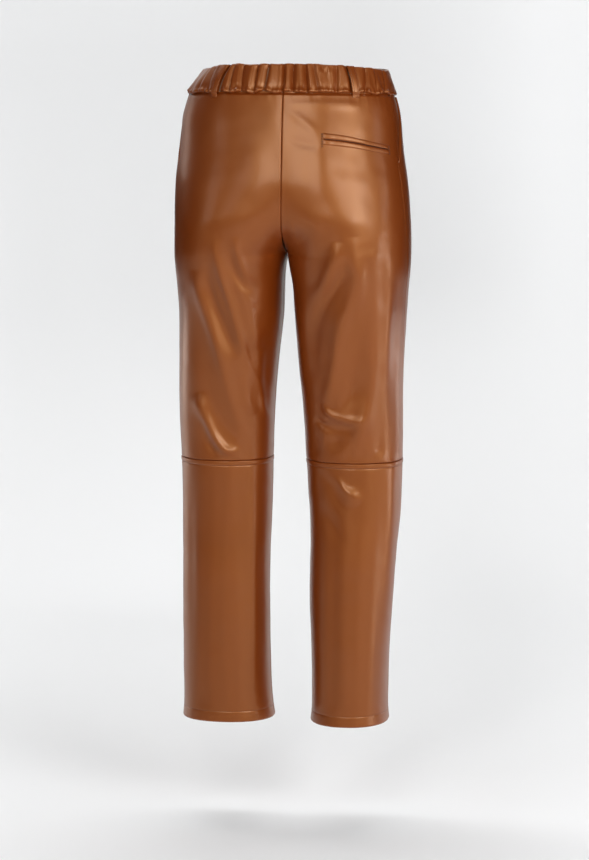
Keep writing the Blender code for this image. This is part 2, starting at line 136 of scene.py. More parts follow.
# Where the side seam runs: height and turn.
SIDE_SEAM = (
    (0.022, 0.536),
    (-0.118, 0.547),
    (-0.256, 0.535),
    (-0.566, 0.503),
    (-0.966, 0.500),
)
# The slanted side pocket's mouth starts this much of a turn in front of the side
# seam at the waist, and meets the seam at MOUTH_END.
MOUTH_START = 0.060
MOUTH_END = -0.118
# Back pocket, wearer's right: turn, and the heights of its edges and mouth there.
TURN, UPPER_EDGE, MOUTH, LOWER_EDGE = range(4)
POCKET = (
    (0.6965, -0.0765, -0.0840, -0.0912),
    (0.6705, -0.0788, -0.0860, -0.0932),
    (0.6435, -0.0826, -0.0892, -0.0962),
    (0.6135, -0.0876, -0.0934, -0.1000),
    (0.5760, -0.0926, -0.0980, -0.1040),
)
# Belt loops: side, turn at the foot, turn at the top.
LOOPS = {
    "back_left": ("left", 0.6394, 0.6440),
    "back_right": ("right", 0.6386, 0.6383),
    "front_left": ("left", 0.357, 0.357),
    "front_right": ("right", 0.357, 0.357),
}
# Gathers in the back of the waistband. Each valley has its distance from the centre
# back at the waist seam (minus is the wearer's left), its shift at the top edge, its
# bow sideways, its depth, and its widths on the side before and the side after.
GATHERS = (
    (-0.1370, -0.003, 0.0000, 0.0009, 0.0050, 0.0050),
    (-0.1160, -0.006, 0.0000, 0.0007, 0.0060, 0.0050),
    (-0.0975, 0.006, -0.0030, 0.0058, 0.0020, 0.0050),
    (-0.0800, -0.002, 0.0000, 0.0022, 0.0045, 0.0030),
    (-0.0616, -0.005, 0.0000, 0.0034, 0.0055, 0.0100),
    (-0.0422, 0.001, 0.0000, 0.0038, 0.0100, 0.0035),
    (-0.0278, 0.004, 0.0005, 0.0042, 0.0085, 0.0040),
    (-0.0008, 0.001, 0.0010, 0.0035, 0.0045, 0.0035),
    (0.0131, 0.0015, 0.0000, 0.0032, 0.0070, 0.0050),
    (0.0342, -0.001, 0.0005, 0.0033, 0.0070, 0.0035),
    (0.0494, -0.004, 0.0000, 0.0017, 0.0070, 0.0040),
    (0.0760, 0.006, 0.0000, 0.0019, 0.0060, 0.0040),
    (0.0974, 0.000, 0.0040, 0.0040, 0.0060, 0.0030),
    (0.1200, 0.011, 0.0000, 0.0024, 0.0060, 0.0040),
    (0.1370, 0.010, 0.0000, 0.0011, 0.0040, 0.0040),
    (0.1550, 0.015, 0.0000, 0.0019, 0.0050, 0.0050),
)
# How much lower the back band's top edge is than BAND_TOP, by that same distance.
TOP_DROP = (
    (-0.190, 0.0050),
    (-0.145, 0.0036),
    (-0.104, 0.0014),
    (-0.080, 0.0012),
    (0.020, 0.0010),
    (0.068, 0.0022),
    (0.115, 0.0040),
    (0.165, 0.0075),
    (0.190, 0.0085),
)
# How far the back band's top edge leans in, by that same distance.
BAND_LEAN = (
    (-0.190, 0.0175),
    (-0.150, 0.0165),
    (-0.090, 0.0080),
    (0.000, 0.0055),
    (0.160, 0.0030),
)
# How far the flat front band stands off the plain surface.
FRONT_BAND_RISE = 0.0016
# Every valley's widths and depth are multiplied by these. Its walls follow this power.
GATHER_WIDTH = 1.3
GATHER_DEPTH = 1.5
GATHER_STEEP = 1.8
# Half the width of a belt loop.
LOOP_HALF = 0.00525
# Width, length and area of each panel's cut, and the columns of its grid.
PANELS = {
    ("upper", "back"): (0.290, 0.580, 0.134, 118),
    ("upper", "front"): (0.300, 0.560, 0.149, 84),
    ("lower", "back"): (0.235, 0.420, 0.0905, 90),
    ("lower", "front"): (0.235, 0.420, 0.0905, 70),
}
# The width that those columns are spaced over.
GRID_WIDTH = 0.24
# Distances from a panel's edge to the first lines of its grid.
EDGE_STEPS = np.array([0.0, 0.0004, 0.0009, 0.0015, 0.0022, 0.0032])

# ------------------------------------------------------------ folds
# Each fold is a line of stations. A station is where it shows from behind, across
# to the right of the middle and in height, with how far the cloth rises there
# (minus is a hollow) and the half-width of that rise. All are in millimetres.
ACROSS, LEVEL, RISE, WIDTH = range(4)
BACK_FOLDS = {
    "left": (
        ((-115, -224, 0, 10), (-113, -249, 2.7, 8.2), (-106, -276, 5.4, 7.7),
         (-97, -306, 5.6, 6.8), (-87, -339, 4.4, 6.9), (-76, -378, 4.1, 8.1),
         (-65, -415, 0.8, 7.2), (-47, -444, 0.4, 5), (-43, -478, 2.1, 5), (-34, -496, 0, 5)),
        ((-98, -254, 0, 8), (-82, -284, 0.5, 7.9), (-72, -314, 1.8, 9.1), (-54, -326, 0, 10)),
        ((-84, -224, 0, 8), (-81, -246, 3.3, 6.9), (-70, -276, 3.2, 6.3), (-54, -296, -0.4, 7),
         (-42, -309, 0, 6)),
        ((-61, -316, 0, 12), (-68, -336, 2.2, 13.1), (-57, -371, 3.4, 14.1), (-50, -393, 0, 10)),
        ((-141, -274, 0, 9.7), (-140, -298, 3.6, 8.6), (-131, -326, 4.5, 9.4),
         (-121, -358, 4.4, 8), (-110, -392, 5.4, 8.7), (-101, -425, 4.8, 11),
         (-92, -458, 3.6, 9.8), (-82, -490, 2.9, 9.1), (-72, -520, 1.3, 7.7),
         (-61, -548, 0, 8.6)),
        ((-98, -382, 0, 8), (-84, -411, 0.4, 7.9), (-71, -437, 2, 8.8), (-67, -473, 2.6, 8.4),
         (-51, -488, 0, 8)),
        ((-137, -457, 0, 8), (-136, -478, 4.6, 9.7), (-126, -501, 5.3, 6.7),
         (-116, -524, 5.8, 6.9), (-100, -544, 5.5, 7.4), (-77, -545, 0, 7)),
        ((-127, -262, 0, 9), (-125, -294, -3.3, 8.1), (-116, -326, -4.5, 8),
         (-103, -356, -4.5, 8.4), (-91, -385, -3.2, 8), (-80, -407, 0, 8)),
        ((-95, -242, 0, 7), (-89, -270, -3.7, 6.7), (-74, -295, -2.4, 6.1), (-60, -307, 0, 6)),
        ((-77, -308, 0, 8), (-75, -344, -1, 7.2), (-66, -380, -1.2, 7.2), (-57, -412, -1.6, 8.2),
         (-46, -438, 0, 7)),
        ((-142, -319, 0, 12), (-140, -365, -1.4, 13.9), (-130, -413, -1.9, 13.3),
         (-120, -466, -2.7, 12.3), (-96, -513, -2.5, 10.6), (-80, -527, 0, 9)),
        ((-42, -364, 0, 10), (-34, -400, -3.6, 10.5), (-36, -436, -3.4, 8.3), (-33, -465, 0, 8)),
        ((-140, -482, 0, 9), (-132, -507, -0.4, 8), (-122, -536, -2.3, 7.2), (-105, -549, 0, 8)),
    ),
    "right": (
        ((66, -232, 0, 9), (63, -259, 6, 11.6), (49, -295, 4.6, 11), (29, -319, 0.9, 10.3),
         (21, -348, 0, 8)),
        ((88, -225, 0, 10), (88, -252, 3.1, 15.5), (96, -282, 6, 12.5), (87, -320, 6, 13.6),
         (74, -352, 6, 12.2), (67, -388, 5.1, 9.6), (62, -424, 3.9, 9), (54, -459, 2.9, 9.6),
         (42, -481, 0, 8)),
        ((80, -236, 0, 8), (78, -263, -0.4, 7.4), (68, -295, -2.6, 7.1), (49, -325, -3.7, 10.1),
         (34, -365, -4.5, 14.5), (34, -409, -2.4, 9.5), (34, -446, 0, 8)),
        ((112, -274, 0, 12), (103, -313, 1.8, 12.2), (99, -350, -0.3, 11.4),
         (96, -388, -2.3, 11.4), (91, -427, -3.3, 12.7), (88, -461, -4, 12.5), (77, -488, 0, 9)),
        ((135, -275, 0, 12), (126, -312, 1.9, 11.8), (126, -351, 3.5, 15.4),
         (124, -391, 4.5, 14.7), (121, -433, 4.1, 9.8), (116, -468, 3.5, 10.4),
         (105, -509, 6, 12.3), (97, -543, 0, 11)),
        ((45, -473, 0, 6), (54, -488, 3.6, 5), (72, -497, 2.4, 6.3), (92, -501, 2.7, 6.4),
         (111, -500, 0, 6)),
        ((33, -496, 0, 6), (45, -505, -3, 5), (59, -511, -3.7, 8.8), (78, -513, -2.9, 9.2),
         (95, -515, 0, 8)),
        ((48, -529, 0, 13), (66, -531, -3, 14.8), (81, -541, 0.5, 13.2), (90, -547, 0, 10)),
        ((54, -580, 0, 6), (69, -591, 1, 5.1), (78, -604, 2.6, 5.1), (90, -615, 3.2, 9.7),
         (101, -627, 0, 8)),
        ((39, -568, 0, 7), (48, -585, -1.1, 8), (61, -604, -1.5, 8.4), (70, -624, -1.2, 7.3),
         (85, -641, 0, 7)),
        ((32, -581, 0, 8), (29, -612, 1.2, 7), (49, -641, -1.5, 9.7), (68, -675, -1.1, 10.8),
         (83, -711, 0, 10)),
    ),
    "both": (
        ((-45, -209, 0, 14), (-24, -224, -0.3, 14.5), (-9, -230, -1.6, 11.4),
         (9, -230, -4.5, 17.6), (35, -211, 0, 14)),
        ((-13, -34, 0, 8), (7, -48, 0.9, 7.5), (25, -61, 1, 7), (41, -73, 0, 6)),
        ((-9, -77, 0, 7), (9, -85, -0.8, 7), (27, -89, -0.8, 7), (41, -89, 0, 6)),
        ((-13, -27, 0, 6), (12, -29, 0.6, 6), (49, -29, 0.8, 7), (86, -30, 0.8, 7),
         (103, -33, 0, 7)),
    ),
}
# Softer waves in the cloth behind. Each runs straight from its first place to its
# second, across and level again, with one half-width and a rise at each station.
BACK_WAVES = {
    "left": (
        (-152, -568, -153, -928, 9.5, (-0.6, -2, -2.7, -2.6, -2, -1.1, -0.2)),
        (-133, -568, -134, -928, 9.5, (0.2, -0.1, -0.5, -0.9, -1, -1, -0.7)),
        (-114, -568, -116, -928, 9.5, (0.4, 0.3, 0, -0.3, -0.5, -0.4, -0.1)),
        (-96, -568, -97, -928, 9.5, (0.8, 0.8, 0.5, 0.2, 0.1, 0.3, 0.6)),
        (-77, -568, -78, -928, 9.5, (-0.8, -0.6, -0.3, 0, 0.3, 0.5, 0.6)),
        (-58, -568, -59, -928, 9.5, (0.5, 1.5, 2.3, 2.5, 2.3, 1.5, 0.3)),
        (-39, -568, -40, -928, 9.5, (-0.3, 0.1, 0.5, 0.9, 0.8, 0.2, -0.7)),
    ),
    "right": (
        (18, -227, 15, -498, 7.5, (-0.1, 0.4, 1.2, 1.5, 1.6, 1.2, 0.6)),
        (39, -227, 24, -544, 7.5, (-0.2, -0.5, -0.4, -0.3, 0, 0.3, 0.3, 0.2)),
        (58, -227, 36, -544, 7.5, (0.2, 0.4, 0.2, -0.2, -0.4, -0.5, -0.8, -0.9)),
        (76, -227, 49, -544, 7.5, (0.4, 0.7, 0.4, 0.2, 0.1, 0.1, 0, -0.1)),
        (92, -227, 64, -544, 7.5, (0.1, 0.6, 0.7, 0.6, 0.4, 0.1, -0.1, -0.2)),
        (108, -227, 81, -544, 7.5, (0, 0.5, 0.9, 0.7, 0.4, 0.1, 0, 0)),
        (123, -227, 97, -544, 7.5, (0.1, 0.4, 0.4, 0.1, -0.1, -0.1, 0.3, 1)),
        (138, -227, 114, -544, 7.5, (-0.5, -1.2, -0.9, -0.6, -0.2, 0.1, 0.4, 0.8)),
        (151, -227, 131, -544, 7.5, (-0.2, 0.2, 1.8, 2.6, 2.3, 1.1, -0.4, -1.7)),
        (164, -227, 149, -544, 7.5, (0.7, 0.5, -1.2, -1.4, -1.1, -0.9, -0.7, -0.4)),
        (39, -568, 41, -931, 9.5, (0, -0.1, -0.2, -0.6, -0.3, 0.3, 0.7)),
        (62, -568, 60, -931, 9.5, (-0.2, -0.8, -1.5, -2, -2.1, -1.7, -0.8)),
        (84, -568, 79, -931, 9.5, (0.1, 0.4, 0.6, 0.6, 0.6, 0.7, 0.9)),
        (106, -568, 98, -931, 9.5, (-0.2, 0, 0.2, 0.4, 0.6, 0.6, 0.3)),
        (128, -568, 117, -931, 9.5, (-0.6, 0.1, 0.5, 0.9, 1.4, 1.4, 0.8)),
        (150, -568, 136, -931, 9.5, (1.9, 2.8, 3.2, 2.5, 1.2, 0.2, -0.6)),
    ),
    "both": (
        (-136, -17, -136, -238, 19, (-1, -0.8, -0.2, -0.1, 0, 0.5)),
        (-97, -17, -98, -238, 19, (0, 0.4, 0.4, -0.3, -0.6, -0.4)),
        (-59, -17, -59, -238, 19, (-0.7, 0.1, 0.7, 0.2, -0.2, -0.3)),
        (-24, -17, -24, -238, 19, (0.7, 0.7, -0.6, -0.9, -0.6, 0)),
        (12, -17, 12, -238, 19, (0.1, 0, 0, -0.3, -1.2, -1.3)),
        (44, -17, 44, -238, 19, (0.5, 1.1, 1.7, 1.1, -0.6, -1)),
        (80, -17, 80, -238, 19, (0.3, 0.5, 0.5, -0.4, -0.8, -0.6)),
        (115, -17, 116, -238, 19, (0.6, 0.4, 0.3, -0.6, -1.1, -1.4)),
        (147, -17, 148, -238, 19, (0.1, 0.7, 1.2, 0.7, 0, -0.6)),
    ),
}
# The same for the front, where across is towards the wearer's left.
FRONT_FOLDS = {
    "left": (
        ((28, -262, 0, 9), (52, -272, 3.2, 9), (84, -288, 3, 10), (118, -312, 0, 10)),
        ((30, -292, 0, 9), (54, -318, 2.6, 9), (84, -352, 2.6, 10), (112, -398, 0, 10)),
        ((34, -336, 0, 9), (52, -372, 2.2, 9), (74, -420, 2, 10), (90, -470, 0, 10)),
        ((146, -300, 0, 11), (136, -360, 2, 11), (120, -424, 2.2, 11), (104, -480, 0, 11)),
        ((132, -470, 0, 9), (112, -500, 2.8, 9), (84, -522, 2.6, 9), (58, -530, 0, 9)),
        ((50, -508, 0, 10), (76, -528, -1.8, 9), (104, -540, -1.6, 9), (128, -546, 0, 9)),
        ((42, -582, 0, 8), (66, -596, 2, 8), (92, -616, 1.6, 9), (116, -640, 0, 9)),
    ),
    "right": (
        ((-22, -264, 0, 9), (-48, -276, 3, 9), (-82, -290, 3.2, 10), (-120, -318, 0, 10)),
        ((-26, -300, 0, 9), (-50, -330, 2.6, 9), (-78, -362, 2.4, 10), (-104, -404, 0, 10)),
        ((-150, -290, 0, 11), (-142, -352, 2.2, 11), (-126, -420, 2.2, 11), (-110, -486, 0, 11)),
        ((-40, -380, 0, 10), (-58, -430, 2, 10), (-76, -480, 1.8, 10), (-84, -520, 0, 10)),
        ((-128, -476, 0, 9), (-108, -504, 2.6, 9), (-82, -524, 2.6, 9), (-54, -534, 0, 9)),
        ((-48, -586, 0, 8), (-72, -602, 2, 8), (-96, -622, 1.6, 9), (-120, -650, 0, 9)),
    ),
    "both": (
        ((-70, -92, 0, 11), (-36, -112, 1, 10), (0, -120, 0.8, 9), (36, -112, 1, 10),
         (70, -92, 0, 11)),
        ((-60, -188, 0, 10), (-34, -214, 1.6, 9), (-10, -236, 1.2, 8), (-2, -246, 0, 8)),
        ((60, -188, 0, 10), (34, -214, 1.6, 9), (10, -236, 1.2, 8), (2, -246, 0, 8)),
    ),
}
# The eye that the fold tables were laid out from: its distance behind the middle,
# its height, and the depth of the upright plane that they are measured on. Then the
# directions to its right and towards it.
EYE_TURN = math.radians(188.0)
EYE_DISTANCE = 5.4
EYE_HEIGHT = 0.223
EYE_PLANE = 0.09
EYE_RIGHT = np.array([math.cos(EYE_TURN), math.sin(EYE_TURN), 0.0])
EYE_NEAR = np.array([math.sin(EYE_TURN), -math.cos(EYE_TURN), 0.0])


# ------------------------------------------------------------ the shaped cloth
def at(table, column, height):
    """One column of a table at some heights, by a monotone cubic through its rows."""
    rows = np.array(table)[::-1]
    level, value = rows[:, 0], rows[:, column]
    slope = np.diff(value) / np.diff(level)
    tangent = np.empty(len(value))
    tangent[0], tangent[-1] = slope[0], slope[-1]
    product = slope[:-1] * slope[1:]
    total = np.where(product > 0.0, slope[:-1] + slope[1:], 1.0)
    tangent[1:-1] = np.where(product > 0.0, 2.0 * product / total, 0.0)
    height = np.clip(height, level[0], level[-1])
    index = np.clip(np.searchsorted(level, height, side="right") - 1, 0, len(level) - 2)
    span = level[index + 1] - level[index]
    part = (height - level[index]) / span
    rest = 1.0 - part
    return ((1.0 + 2.0 * part) * rest ** 2 * value[index]
            + part * rest ** 2 * span * tangent[index]
            + part ** 2 * (3.0 - 2.0 * part) * value[index + 1]
            - part ** 2 * rest * span * tangent[index + 1])


def rounded(rows, column, top):
    """A column's heights and values up to top, its bends eased by a moving average."""
    level = np.arange(HEM, top + 0.0001, TABLE_STEP)
    weight = np.hanning(2 * TABLE_EASE + 1)
    padded = np.pad(at(rows, column, level), TABLE_EASE, mode="reflect", reflect_type="odd")
    return level, np.convolve(padded, weight / weight.sum(), mode="valid")


def whole(side, hips_column, legs_column):
    """One column of the hips' table and of a leg's as a single smooth one."""
    hips = [(row[HEIGHT], row[hips_column]) for row in HIPS]
    legs = [(row[HEIGHT], row[legs_column]) for row in LEGS[side]]
    return rounded(hips + legs[1:], 1, BAND_TOP)


SECTIONS = {
    side: {
        "outer": whole(side, LEFT if side == "left" else RIGHT, OUTER),
        "front": whole(side, FRONT, LEG_FRONT),
        "back": whole(side, BACK, LEG_BACK),
        "inner": rounded(LEGS[side], INNER, CROTCH),
        "centre": rounded(HIPS, CENTRE, BAND_TOP),
    } for side in SIDES
}


def ease(low, high, value):
    """0 at low, 1 at high, and a smooth step between them."""
    part = np.clip((value - low) / (high - low), 0.0, 1.0)
    return part * part * (3.0 - 2.0 * part)


def bell(value, middle, width):
    """1 at the middle, falling away smoothly on both sides."""
    return np.exp(-((value - middle) / width) ** 2)


def bulge(value):
    """The squarer sine or cosine of a superellipse."""
    return np.sign(value) * np.abs(value) ** (2.0 / FULLNESS)


def overlap(height):
    """How far each leg's section reaches over the middle, 1 at the crotch and below."""
    above = np.maximum(height - CROTCH, 0.0) / CROTCH_BLEND
    return (1.0 - np.clip(np.sqrt(above ** 2 + CROTCH_EASE ** 2) - CROTCH_EASE, 0.0, 1.0)) ** 2


def edge(height):
    """The turn at which a section is cut off by the centre seam: 0 on the legs."""
    return np.arccos(np.clip(overlap(height) ** (FULLNESS / 2.0), 0.0, 1.0)) / (2.0 * np.pi)


def skin(side, turn, height):
    """Points on the plain surface of one side, without its folds."""
    turn, height = np.broadcast_arrays(np.asarray(turn, float), np.asarray(height, float))
    way = SIDES[side]
    angle = 2.0 * np.pi * turn
    hip = height > CROTCH
    over = overlap(height)
    outer, inner, front, back, centre = (
        np.interp(height, *SECTIONS[side][name])
        for name in ("outer", "inner", "front", "back", "centre"))
    middle = np.where(hip, centre, 0.0)
    reach = outer - way * middle
    half = np.where(hip, reach / (1.0 + over), (outer - inner) / 2.0)
    offset = np.where(hip, reach - half, (outer + inner) / 2.0)
    depth = (front + back) / 2.0
    across = offset - half * bulge(np.cos(angle))
    deep = (back - front) / 2.0 - depth * bulge(np.sin(angle))
    start = 2.0 * np.pi * edge(height)
    steep = np.minimum(depth / half / np.tan(np.maximum(start, 0.1)), VALLEY_STEEP)
    width = np.maximum(VALLEY_WIDTH * np.sqrt(1.0 - over), 0.001)
    dip = steep * across * np.exp(-np.abs(across) / width)
    deep = deep + np.where(hip, np.where(turn < 0.5, dip, -dip), 0.0)
    x = middle + way * (across + SEAM_GAP / 2.0)
    tilt = ease(*TILT_FADE, height) * (BACK_TILT * deep + WAIST_LIFT)
    return np.stack([x, deep, height + tilt], axis=-1)


def outward(side, turn, height):
    """The plain surface's outward directions, and metres for a whole turn."""
    step = 0.0015
    ahead = skin(side, turn + step, height) - skin(side, turn - step, height)
    up = skin(side, turn, height + step) - skin(side, turn, height - step)
    normal = np.cross(ahead, up) * SIDES[side]
    normal /= np.linalg.norm(normal, axis=-1, keepdims=True)
    return normal, np.linalg.norm(ahead, axis=-1) / (2.0 * step)


def beside(side, turn, height, distance):
    """Turns moved on by a distance measured on the cloth."""
    return turn + distance / outward(side, turn, height)[1]


def smooth_path(stations, steps=8):
    """A fold's stations, filled in along a smooth curve."""
    points = np.array(stations, float) / 1000.0
    padded = np.vstack([2 * points[0] - points[1], points, 2 * points[-1] - points[-2]])
    filled = []
    for before, here, there, after in zip(padded, padded[1:], padded[2:], padded[3:]):
        for part in np.arange(steps) / steps:
            filled.append(0.5 * (2 * here + (there - before) * part
                                 + (2 * before - 5 * here + 4 * there - after) * part ** 2
                                 + (3 * here - before - 3 * there + after) * part ** 3))
    filled.append(points[-1])
    return np.array(filled)


def fold_lift(folds, across, level):
    """How far some folds lift the cloth that shows at across and level."""
    lift = np.zeros(across.shape)
    for stations in folds:
        path = smooth_path(stations)
        reach = 3.0 * path[:, WIDTH].max()
        near = ((across > path[:, ACROSS].min() - reach) & (across < path[:, ACROSS].max() + reach)
                & (level > path[:, LEVEL].min() - reach) & (level < path[:, LEVEL].max() + reach))
        if not near.any():
            continue
        here = np.stack([across[near], level[near]], axis=-1)
        best = np.full(len(here), 1e9)
        rise, width = np.zeros(len(here)), np.ones(len(here))
        for start, end in zip(path, path[1:]):
            run = end[:2] - start[:2]
            part = np.clip((here - start[:2]) @ run / (run @ run), 0.0, 1.0)
            away = ((here - start[:2] - part[:, None] * run) ** 2).sum(axis=1)
            closer = away < best
            best = np.where(closer, away, best)
            rise = np.where(closer, start[RISE] + (end[RISE] - start[RISE]) * part, rise)
            width = np.where(closer, start[WIDTH] + (end[WIDTH] - start[WIDTH]) * part, width)
        lift[near] += rise * np.exp(-best / width ** 2)
    return lift


def straight(wave):
    """The stations of a soft wave, evenly spaced along its line."""
    across, level, last_across, last_level, width, rises = wave
    return [(across + (last_across - across) * part, level + (last_level - level) * part,
             rise, width)
            for part, rise in zip(np.linspace(0.0, 1.0, len(rises)), rises)]


def waves(points, seed, count, shortest, longest):
    """Smooth, shapeless unevenness between about -1 and 1, from count plane waves of
    lengths from shortest to longest."""
    rng = np.random.default_rng(seed)
    total = np.zeros(points.shape[:-1])
    for length in np.geomspace(shortest, longest, count):
        direction = rng.normal(size=3)
        direction *= 2.0 * np.pi / length / np.linalg.norm(direction)
        total += np.sin(points @ direction + rng.uniform(0.0, 2.0 * np.pi))
    return total / math.sqrt(count)


def creases(side, turn, points):
    """Folds and unevenness: how far they lift the cloth at some plain points."""
    part = (EYE_DISTANCE - EYE_PLANE) / (EYE_DISTANCE - points @ EYE_NEAR)
    soft = tuple(straight(wave) for wave in BACK_WAVES[side] + BACK_WAVES["both"])
    level = points[..., 2]
    behind = fold_lift(BACK_FOLDS[side] + BACK_FOLDS["both"] + soft, points @ EYE_RIGHT * part,
                       EYE_HEIGHT + (level - EYE_HEIGHT) * part)
    before = fold_lift(FRONT_FOLDS[side] + FRONT_FOLDS["both"], points[..., 0], level)
    share = ease(0.47, 0.53, turn) * (1.0 - ease(0.95, 1.05, turn)) + 1.0 - ease(-0.05, 0.05, turn)
    share = np.clip(share, 0.0, 1.0)
    uneven = (0.00010 * waves(points, 7, 14, 0.022, 0.075)
              + 0.0003 * waves(points, 11, 8, 0.09, 0.22))
    return behind * share + before * (1.0 - share) + uneven * ease(0.02, -0.05, level)


def cloth(side, turn, height):
    """Points on the finished cloth and the directions out of it."""
    turn, height = np.broadcast_arrays(np.asarray(turn, float), np.asarray(height, float))
    plain = skin(side, turn, height)
    normal = outward(side, turn, height)[0]
    lift = creases(side, turn, plain) + bands(height)
    return plain + normal * lift[..., None], normal


def stitch_levels(sizes):
    """Heights of the rows of stitches under the knee seam and above the hem."""
    return KNEE_SEAM - sizes.knee_stitch_below, HEM + sizes.hem_stitch_above


def bands(height):
    """The pressed knee seam allowance with its stitched groove, and the hem's."""
    sizes = bpy.context.scene.trouser_sizes
    groove, half = sizes.groove_depth, sizes.groove_width / 2.0
    knee, hem = stitch_levels(sizes)
    raised = (ease(knee - 0.001, knee + 0.001, height)
              * ease(KNEE_SEAM + 0.0001, KNEE_SEAM - 0.0001, height))
    turned_up = ease(hem + 0.0008, hem - 0.0008, height)
    return (sizes.allowance * raised + 0.0001 * turned_up
            - groove * bell(height, knee, half) - 0.6 * groove * bell(height, hem, half))


def rolled(distance, sizes):
    """How far the cloth turns down this near to a seam."""
    part = np.clip(1.0 - distance / sizes.roll_width, 0.0, 1.0)
    return -sizes.roll_depth * part ** 2


def spaced(start, end, count, growth=1.0, marks=()):
    """Positions from start to end, closer together at both ends and round marks."""
    way = math.copysign(1.0, end - start)
    length = abs(end - start)
    plain = length * (np.arange(count + 1) / count) ** growth
    fine = [EDGE_STEPS, length - EDGE_STEPS]
    for mark in marks:
        fine.append(abs(mark - start) + np.linspace(-0.002, 0.002, 9))
    fine = np.concatenate(fine)
    keep = plain[[np.abs(fine - p).min() > 0.35 * length / count for p in plain]]
    fine = fine[(fine >= 0) & (fine <= length)]
    return start + way * np.unique(np.concatenate([keep, fine]).round(6))


def side_seam(height):
    """The turn at which the side seam runs."""
    return at(SIDE_SEAM, 1, height)


def mouth(height):
    """Where the slanted pocket's mouth runs, or the side seam below it."""
    top = np.maximum(height - MOUTH_END, 0.0) / (WAIST_SEAM - MOUTH_END)
    return side_seam(height) - MOUTH_START * top ** 0.6


def panel_turns(side, part, inner, outer, fractions, outer_line):
    """The turns and heights of a panel's grid, with half a seam's gap left off."""
    start = edge(inner) if part == "front" else 1.0 - edge(inner)
    end = outer_line(outer)
    turn = start[:, None] + (end - start)[:, None] * fractions
    level = outer[:, None] + (inner - outer)[:, None] * (1.0 - fractions) ** 2
    toward = 1.0 if part == "front" else -1.0
    gap = np.where(inner <= CROTCH, toward * SEAM_GAP / 2.0, 0.0)
    turn[:, 0] = beside(side, turn[:, 0], level[:, 0], gap)
    turn[:, -1] = beside(side, turn[:, -1], level[:, -1], -toward * SEAM_GAP / 2.0)
    return turn, level


def away_from_ends(points):
    """Each point's distance along its row from the row's first and last points."""
    steps = np.linalg.norm(np.diff(points, axis=1), axis=-1)
    along = np.concatenate([np.zeros((len(points), 1)), np.cumsum(steps, axis=1)], axis=1)
    return along, along[:, -1:] - along


def shell(name, outer, inner, finishes):
    """A closed thin piece between two grids of points, its faces turned outward. A
    second finish is for its inside."""
    rows, columns = outer.shape[:2]
    count = rows * columns
    index = np.arange(count).reshape(rows, columns)
    quads = np.stack([index[:-1, :-1], index[1:, :-1], index[1:, 1:], index[:-1, 1:]], axis=-1)
    out = quads.reshape(-1, 4)
    back = out[:, ::-1] + count
    rim = np.concatenate([index[0, :], index[1:, -1], index[-1, -2::-1], index[-2:0:-1, 0]])
    beyond = np.roll(rim, -1)
    sides = np.stack([rim, beyond, beyond + count, rim + count], axis=-1)
    faces = np.concatenate([out, back, sides])
    points = np.concatenate([outer.reshape(-1, 3), inner.reshape(-1, 3)])
    a, b, c, d = (points[faces[:, k]] for k in range(4))
    if (np.cross(b - a, c - a) * a + np.cross(c - a, d - a) * a).sum() < 0.0:
        faces = faces[:, ::-1]
    mesh = bpy.data.meshes.new(name)
    mesh.vertices.add(len(points))
    mesh.vertices.foreach_set("co", points.ravel())
    mesh.loops.add(faces.size)
    mesh.loops.foreach_set("vertex_index", faces.ravel())
    mesh.polygons.add(len(faces))
    mesh.polygons.foreach_set("loop_start", np.arange(0, faces.size, 4))
    slots = np.zeros(len(faces), dtype=int)
    if len(finishes) > 1:
        slots[len(out):len(out) + len(back)] = 1
    mesh.update(calc_edges=True)
    mesh.polygons.foreach_set("material_index", slots)
    mesh.validate()
    mesh.shade_smooth()
    mesh.set_sharp_from_angle(angle=math.radians(55.0))
    return dressed(name, mesh, finishes)


def dressed(name, mesh, finishes):
    """An object for a mesh, with its finishes, riding on the one body."""
    for finish in finishes:
        mesh.materials.append(bpy.data.materials.get(finish) or FINISHES[finish]())
    piece = bpy.data.objects.new(name, mesh)
    bpy.context.scene.collection.objects.link(piece)
    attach(piece, "root")
    return piece


def stitches(name, lines):
    """Lines of thread. Each line is points on the cloth and directions out of it."""
    sizes = bpy.context.scene.trouser_sizes
    rings, corners = 5, 6
    points, faces = [], []
    for place, normal in lines:
        run = np.concatenate([[0.0], np.cumsum(np.linalg.norm(np.diff(place, axis=0), axis=1))])
        pitch = sizes.stitch_length + sizes.stitch_space
        for start in np.arange(pitch / 2.0, run[-1] - pitch, pitch):
            along = start + sizes.stitch_length * np.linspace(0.0, 1.0, rings)
            spine = np.stack([np.interp(along, run, place[:, k]) for k in range(3)], axis=-1)
            out = np.stack([np.interp(along, run, normal[:, k]) for k in range(3)], axis=-1)
            forward = spine[-1] - spine[0]
            forward /= np.linalg.norm(forward)
            out -= (out @ forward)[:, None] * forward
            out /= np.linalg.norm(out, axis=1, keepdims=True)
            across = np.cross(forward, out)
            arch = np.sin(np.pi * np.linspace(0.0, 1.0, rings))
            spine = spine + out * (sizes.thread * (0.75 * arch - 0.35))[:, None]
            thick = sizes.thread * (0.45 + 0.55 * arch)
            base = len(points) * rings * corners
            ring = [spine + thick[:, None] * (math.cos(a) * out + math.sin(a) * across)
                    for a in np.arange(corners) * 2.0 * np.pi / corners]
            points.append(np.stack(ring, axis=1).reshape(-1, 3))
            for j in range(rings - 1):
                for i in range(corners):
                    a, b = base + j * corners + i, base + j * corners + (i + 1) % corners
                    faces.append((a, b, b + corners, a + corners))
            faces.append(tuple(base + i for i in range(corners))[::-1])
            faces.append(tuple(base + (rings - 1) * corners + i for i in range(corners)))
    mesh = bpy.data.meshes.new(name)
    mesh.from_pydata(np.concatenate(points).tolist(), [], faces)
    mesh.shade_smooth()
    return dressed(name, mesh, ("brown_thread",))


